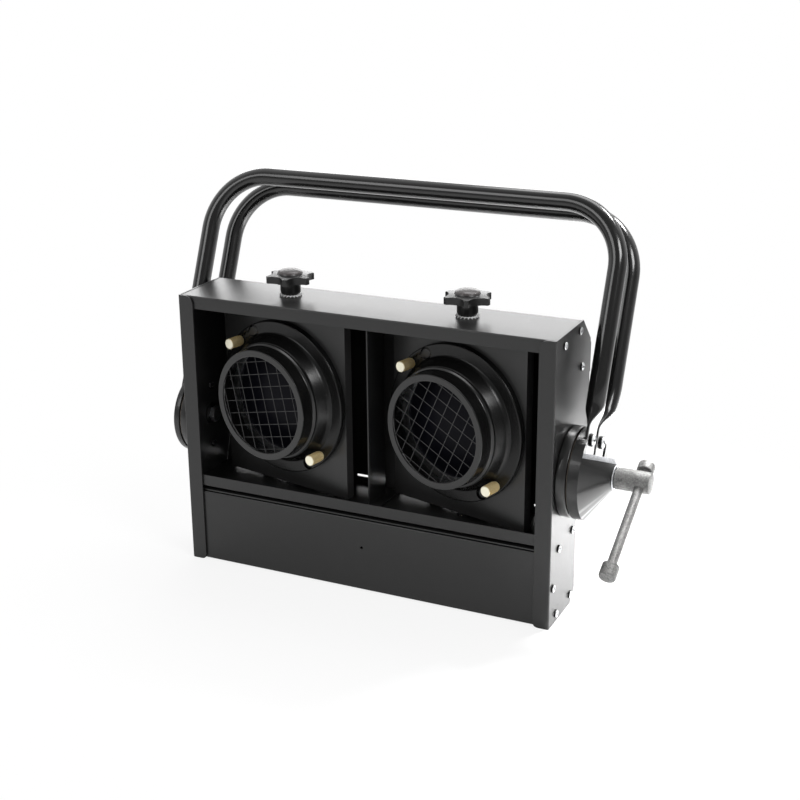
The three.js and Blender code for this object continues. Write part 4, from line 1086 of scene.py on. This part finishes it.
def makeRing(side):
    ring = alongLamp(f"lamp_ring_pressed_{side}", lampModule["ring"])
    circle, twist = lampModule["screwCircle"], math.radians(lampModule["twist"])
    for angle in lampModule["screwAngles"].values():
        at = math.radians(angle)
        spots = [(at - twist * share, lampModule["slotHalf"]) for share in (0, 0.25, 0.5, 0.75)]
        spots.append((at - twist, lampModule["eye"]))
        for where, radius in spots:
            x, z = circle * math.cos(where), circle * math.sin(where)
            cutWith(ring, rodPiece("cutKeyhole", radius, (x, -17, z), (x, -24, z), 40))
    softenEdges(ring, 0.18, 38, 2)
    finishPiece(ring, f"lamp_{side}", f"ring_{side}", "ringBlackShaded", [f"lamp_ring_{side}"], 38)

    snout = alongLamp(f"snout_spun_{side}", lampModule["snout"])
    finishPiece(snout, f"lamp_{side}", f"ring_{side}", "lampBlack", [f"snout_{side}"], 38)


def makeGuard(side):
    radius, thick, place = lampModule["guardHoop"]
    parts = [hoopPiece("guardHoop", radius, thick, place, 10)]
    pitch, wire = lampModule["guardPitch"], lampModule["guardWire"]
    front, back = -lampModule["guardFront"], -lampModule["guardBack"]
    angle, across, up = lampModule["guardPlace"][side]
    for first, upright in ((across, True), (up, False)):
        for i in range(-5, 6):
            offset = first + i * pitch
            if abs(offset) > radius - lampModule["guardEdge"]:
                continue
            reach = math.sqrt(radius**2 - offset**2)
            start, end = (
                (offset, front, way * reach) if upright else (way * reach, back, offset) for way in (-1, 1)
            )
            parts.append(rodPiece("guardStrand", wire, start, end, 10))
    guard = joinPieces(f"wire_guard_mesh_{side}", parts)
    moveMesh(guard, angles=(0, -math.radians(angle), 0))
    finishPiece(guard, f"lamp_{side}", f"ring_{side}", "wire", [f"wire_guard_{side}"], 60)

    radius, thick, place, gap = lampModule["clip"]
    spring = hoopPiece(f"guard_clip_wire_{side}", radius, thick, place, 12)
    cutWith(spring, blockPiece("cutGap", (-gap / 2, -place - 5, -radius - 5), (gap / 2, -place + 5, 0)))
    finishPiece(spring, f"lamp_{side}", f"ring_{side}", "spring", [f"guard_clip_{side}"], 40)


# The lens with its rim, the silvered bowl behind it, and the two posts
def makeLamp(side):
    outer, lensRadius, back, front, rise = lampModule["lens"]
    bowlRadius, bowlDepth = lampModule["bowl"]
    neckRadius, neckLength = lampModule["neck"]
    wall = lampModule["glass"]
    profile = [(outer - 0.6, back), (outer, back + 0.6), (outer, front - 0.6), (outer - 0.6, front)]
    profile.append((lensRadius, front))
    for i in range(1, 13):
        share = i / 12
        profile.append((lensRadius * (1 - share), front + rise * math.sin(share * quarter) ** 1.15))
    profile += [(0, front - wall), (outer - 4, front - wall), (outer - 4, back), (outer - 0.6, back)]
    lens = alongLamp(f"lamp_lens_{side}", profile)
    finishPiece(lens, f"lamp_{side}", f"lamp_{side}", "lens", [f"par_lamp_{side}"], 40)

    rim = outer - 4.6
    seat = front - wall - 0.4
    profile = [(rim, seat), (rim, back)]
    for i in range(1, 15):
        share = i / 14
        radius = neckRadius + (bowlRadius - 0.4 - neckRadius) * math.sqrt(1 - share)
        profile.append((radius, back - bowlDepth * share))
    end = back - bowlDepth - neckLength
    profile += [
        (neckRadius, end + 1), (neckRadius - 1, end), (0, end), (0, end + wall),
        (neckRadius - wall, back - bowlDepth + 1), (rim - 2, back - 2), (rim - 2, seat), (rim, seat),
    ]
    bowl = alongLamp(f"lamp_bowl_{side}", profile)
    finishPiece(bowl, f"lamp_{side}", f"lamp_{side}", "silver", (), 50)

    radius, spread, length = lampModule["posts"]
    tip = end - length
    posts = []
    for way in (-1, 1):
        profile = [(0, end + 0.5), (radius, end + 0.5), (radius, tip + 0.6), (radius - 0.6, tip), (0, tip)]
        posts.append(moveMesh(alongLamp("lampPost", profile, 32), (way * spread, 0, 0)))
    pair = joinPieces(f"lamp_posts_{side}", posts)
    finishPiece(pair, f"lamp_{side}", f"lamp_{side}", "brass", (), 40)


thumb = {
    "radius": 5.6,
    "seat": 21.3,
    "end": 39.0,
    "shank": 2.5,
    "shankBack": 6.0,
    "collar": 2.6,
    "knurls": 36,
    "knurlDepth": 0.28,
    "bevel": 0.7,
}


def makeThumbscrew(side, end):
    radius, seat, top, bevel = thumb["radius"], thumb["seat"], thumb["end"], thumb["bevel"]
    shank, back, collar = thumb["shank"], thumb["shankBack"], seat + thumb["collar"]
    barrel = radius - 0.1
    profile = [
        (0, back), (shank - 0.4, back), (shank, back + 0.4), (shank, seat), (radius - 1, seat),
        (radius - 0.7, seat + 0.3), (radius - 0.7, collar), (barrel, collar + 0.5), (barrel, collar + 4),
        (barrel, collar + 7.5), (barrel, top - bevel), (barrel - bevel, top), (0, top),
    ]
    strips = thumb["knurls"] * 2
    body = alongLamp(f"thumbscrew_knurled_{side}_{end}", profile, strips)
    startEdit(body, "FACE")

    # every other strip round the barrel
    def isGroove(face):
        spot = middle(face)
        strip = round((math.atan2(spot.z, spot.x) % turn) / turn * strips - 0.5)
        onBarrel = bevel - 0.1 - top < spot.y < -collar - 0.4
        return onBarrel and abs(face.normal.y) < 0.05 and strip % 2 == 0

    if pick("FACE", isGroove):
        bpy.ops.mesh.inset(thickness=0.05, depth=-thumb["knurlDepth"], use_individual=True)
    endEdit()
    # painted highlight: the end face is marked to be painted pale cream
    markPoints(body, "endFace", lambda co: co.y < 0.1 - top)
    at = math.radians(lampModule["screwAngles"][end])
    circle = lampModule["screwCircle"]
    moveMesh(body, (circle * math.cos(at), 0, circle * math.sin(at)))
    node = f"thumbscrew_{side}_{end}"
    finishPiece(body, f"lamp_{side}", node, "brass", [node], 25)


for side in ("left", "right"):
    makeRing(side)
    makeGuard(side)
    makeLamp(side)
    for end in ("upper", "lower"):
        makeThumbscrew(side, end)
print("lamp modules made")

# Star knob on top, over a toothed washer
knob = {
    "bottom": 291.6,
    "hubRadius": 10.3,
    "hubTop": 304.6,
    "starTop": 313.0,
    "starRadius": 24.3,
    "scallopCircle": 32.4,
    "scallopRadius": 14.6,
    "lobes": 6,
    "rest": {"left": -15, "right": -11},
    "washer": (4.6, 8.9, 11.4),
    "washerMiddle": 291.1,
    "washerThick": 0.5,
    "tooth": (2.5, 18, 50),  # width, how many, twist
    "domeRadius": 12.6,
    "domeRise": 4.0,
    "bore": 4.3,
    "boreTop": 303.3,
}


def makeKnob(side):
    low, high = knob["hubTop"], knob["starTop"]
    radius = knob["starRadius"]
    face = high - 0.4
    profile = [(0, low), (radius, low), (radius, high - 2.2), (radius - 0.6, high - 1.6), (12, face), (0, face)]
    star = turnPiece("knobStar", profile, "z", 96)
    circle, scallop = knob["scallopCircle"], knob["scallopRadius"]
    for i in range(knob["lobes"]):
        at = turn * (i + 0.5) / knob["lobes"]
        x, y = circle * math.cos(at), circle * math.sin(at)
        cutWith(star, rodPiece("cutScallop", scallop, (x, y, low - 5), (x, y, high + 5), 64))
    softenEdges(star, 1.1, 35, 4)
    hub = knob["hubRadius"]
    dome, rise = knob["domeRadius"], knob["domeRise"]
    bottom = knob["bottom"]
    profile = [
        (knob["bore"], bottom), (hub - 1.6, bottom), (hub - 0.2, bottom + 2.4), (hub, bottom + 3.2),
        (hub, low + 2), (dome + 0.6, high - 1.2), (dome, high - 0.3), (dome - 0.4, high + 0.9),
    ]
    for i in range(1, 9):
        angle = i / 8 * quarter
        profile.append(((dome - 0.4) * math.cos(angle), high + 0.9 + (rise - 0.9) * math.sin(angle)))
    profile += [(0, knob["boreTop"]), (knob["bore"], knob["boreTop"]), (knob["bore"], bottom)]
    core = turnPiece(f"pan_knob_star_{side}", profile, "z", 96)
    cutWith(core, star, operation="UNION")
    # the domed cap is greyer than the star
    markPoints(core, "cap", lambda co: co.z > high - 0.2 and math.hypot(co.x, co.y) < dome + 0.1)
    moveMesh(core, angles=(0, 0, math.radians(knob["rest"][side])))
    finishPiece(core, f"pan_{side}", f"pan_knob_{side}", "knob", [f"pan_knob_{side}"], 40)


# The spring washer under it: a flat ring, and one tooth copied round it with a twist
def makeWasher(side):
    bore, root, tip = knob["washer"]
    z, half = knob["washerMiddle"], knob["washerThick"] / 2
    width, count, twist = knob["tooth"]
    low, high = z - half, z + half
    parts = [turnPiece("washerRing", [(bore, low), (root, low), (root, high), (bore, high), (bore, low)], "z")]
    master = blockPiece("washerTooth", (root - 0.4, -width / 2, -half), (tip, width / 2, half))
    moveMesh(master, angles=(math.radians(twist), 0, 0))
    moveMesh(master, (0, 0, z))
    for i in range(count):
        tooth = copyOf(master, f"washerTooth_{i}")
        moveMesh(tooth, angles=(0, 0, turn * i / count))
        parts.append(tooth)
    drop(master)
    ring = joinPieces(f"lock_washer_toothed_{side}", parts)
    finishPiece(ring, f"pan_{side}", f"pan_knob_{side}", "toothed", [f"lock_washer_{side}"], 30)


for side in ("left", "right"):
    makeKnob(side)
    makeWasher(side)
print("knobs made")

# Cable gland in the lower rear panel, turned along +Y
gland = {
    "x": 120,
    "z": 44,
    "panelFront": 72.7,
    "panelBack": 74.8,
    "nut": (13, 5),
    "cap": (11.5, 8, 13, 4),
    "body": 9,
    "tail": 6,
    "bore": 4.5,
}


def makeGland():
    front, back = gland["panelFront"], gland["panelBack"]
    nutRadius, nutLength = gland["nut"]
    capRadius, noseRadius, capLength, noseLength = gland["cap"]
    bore, thread = gland["bore"], gland["body"]
    tail, capStart = front - gland["tail"], back + nutLength
    capEnd = capStart + capLength
    profile = [
        (bore, tail), (thread, tail), (thread, capStart), (capRadius - 0.6, capStart),
        (capRadius, capStart + 0.6),
    ]
    for i in range(7):
        angle = i / 6 * quarter
        radius = noseRadius + (capRadius - noseRadius) * math.cos(angle)
        profile.append((radius, capEnd - noseLength * (1 - math.sin(angle))))
    profile += [(bore + 0.8, capEnd), (bore, capEnd - 0.8), (bore, tail)]
    body = turnPiece("cable_gland_body", [(r, -y) for r, y in profile], "y", 96)
    corner = nutRadius * hexFlat + 0.6
    for low, high in ((front - nutLength, front), (back, capStart)):
        bpy.ops.mesh.primitive_cylinder_add(
            vertices=6, radius=nutRadius, depth=high - low, location=(0, (low + high) / 2, 0),
            rotation=(quarter, 0, 0),
        )
        nut = applyPlace(added("glandNut"))
        profile = [(0, low), (corner, low), (nutRadius, low + 1), (nutRadius, high - 1), (corner, high), (0, high)]
        keep = turnPiece("keepNut", [(r, -y) for r, y in profile], "y", 96)
        cutWith(nut, keep, operation="INTERSECT")
        cutWith(nut, rodPiece("cutNut", thread - 0.5, (0, low - 2, 0), (0, high + 2, 0), 64))
        cutWith(body, nut, operation="UNION")
    softenEdges(body, 0.2, 40, 2)
    moveMesh(body, (gland["x"], 0, gland["z"]))
    finishPiece(body, "housing", "housing", "gland", ["cable_gland"], 35)


makeGland()
print("cable gland made")



# CAD nodes whose shape is right keep it, with a finish of their own
keptNodes = {
    "zinc": ["knob_stud_left", "knob_stud_right", "lamp_retainer_left", "lamp_retainer_right"],
    "blackened": ["pivot_pin_left", "pivot_pin_right"],
    "nylon": ["pan_bush_left", "pan_bush_right"],
    "rubber": ["lamp_gasket_left", "lamp_gasket_right"],
    "ceramic": ["terminal_block"],
    "fibre": ["friction_pad_left", "friction_pad_right"],
}
for key, names in keptNodes.items():
    for name in names:
        paint(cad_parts[name], key)
print("kept nodes finished")
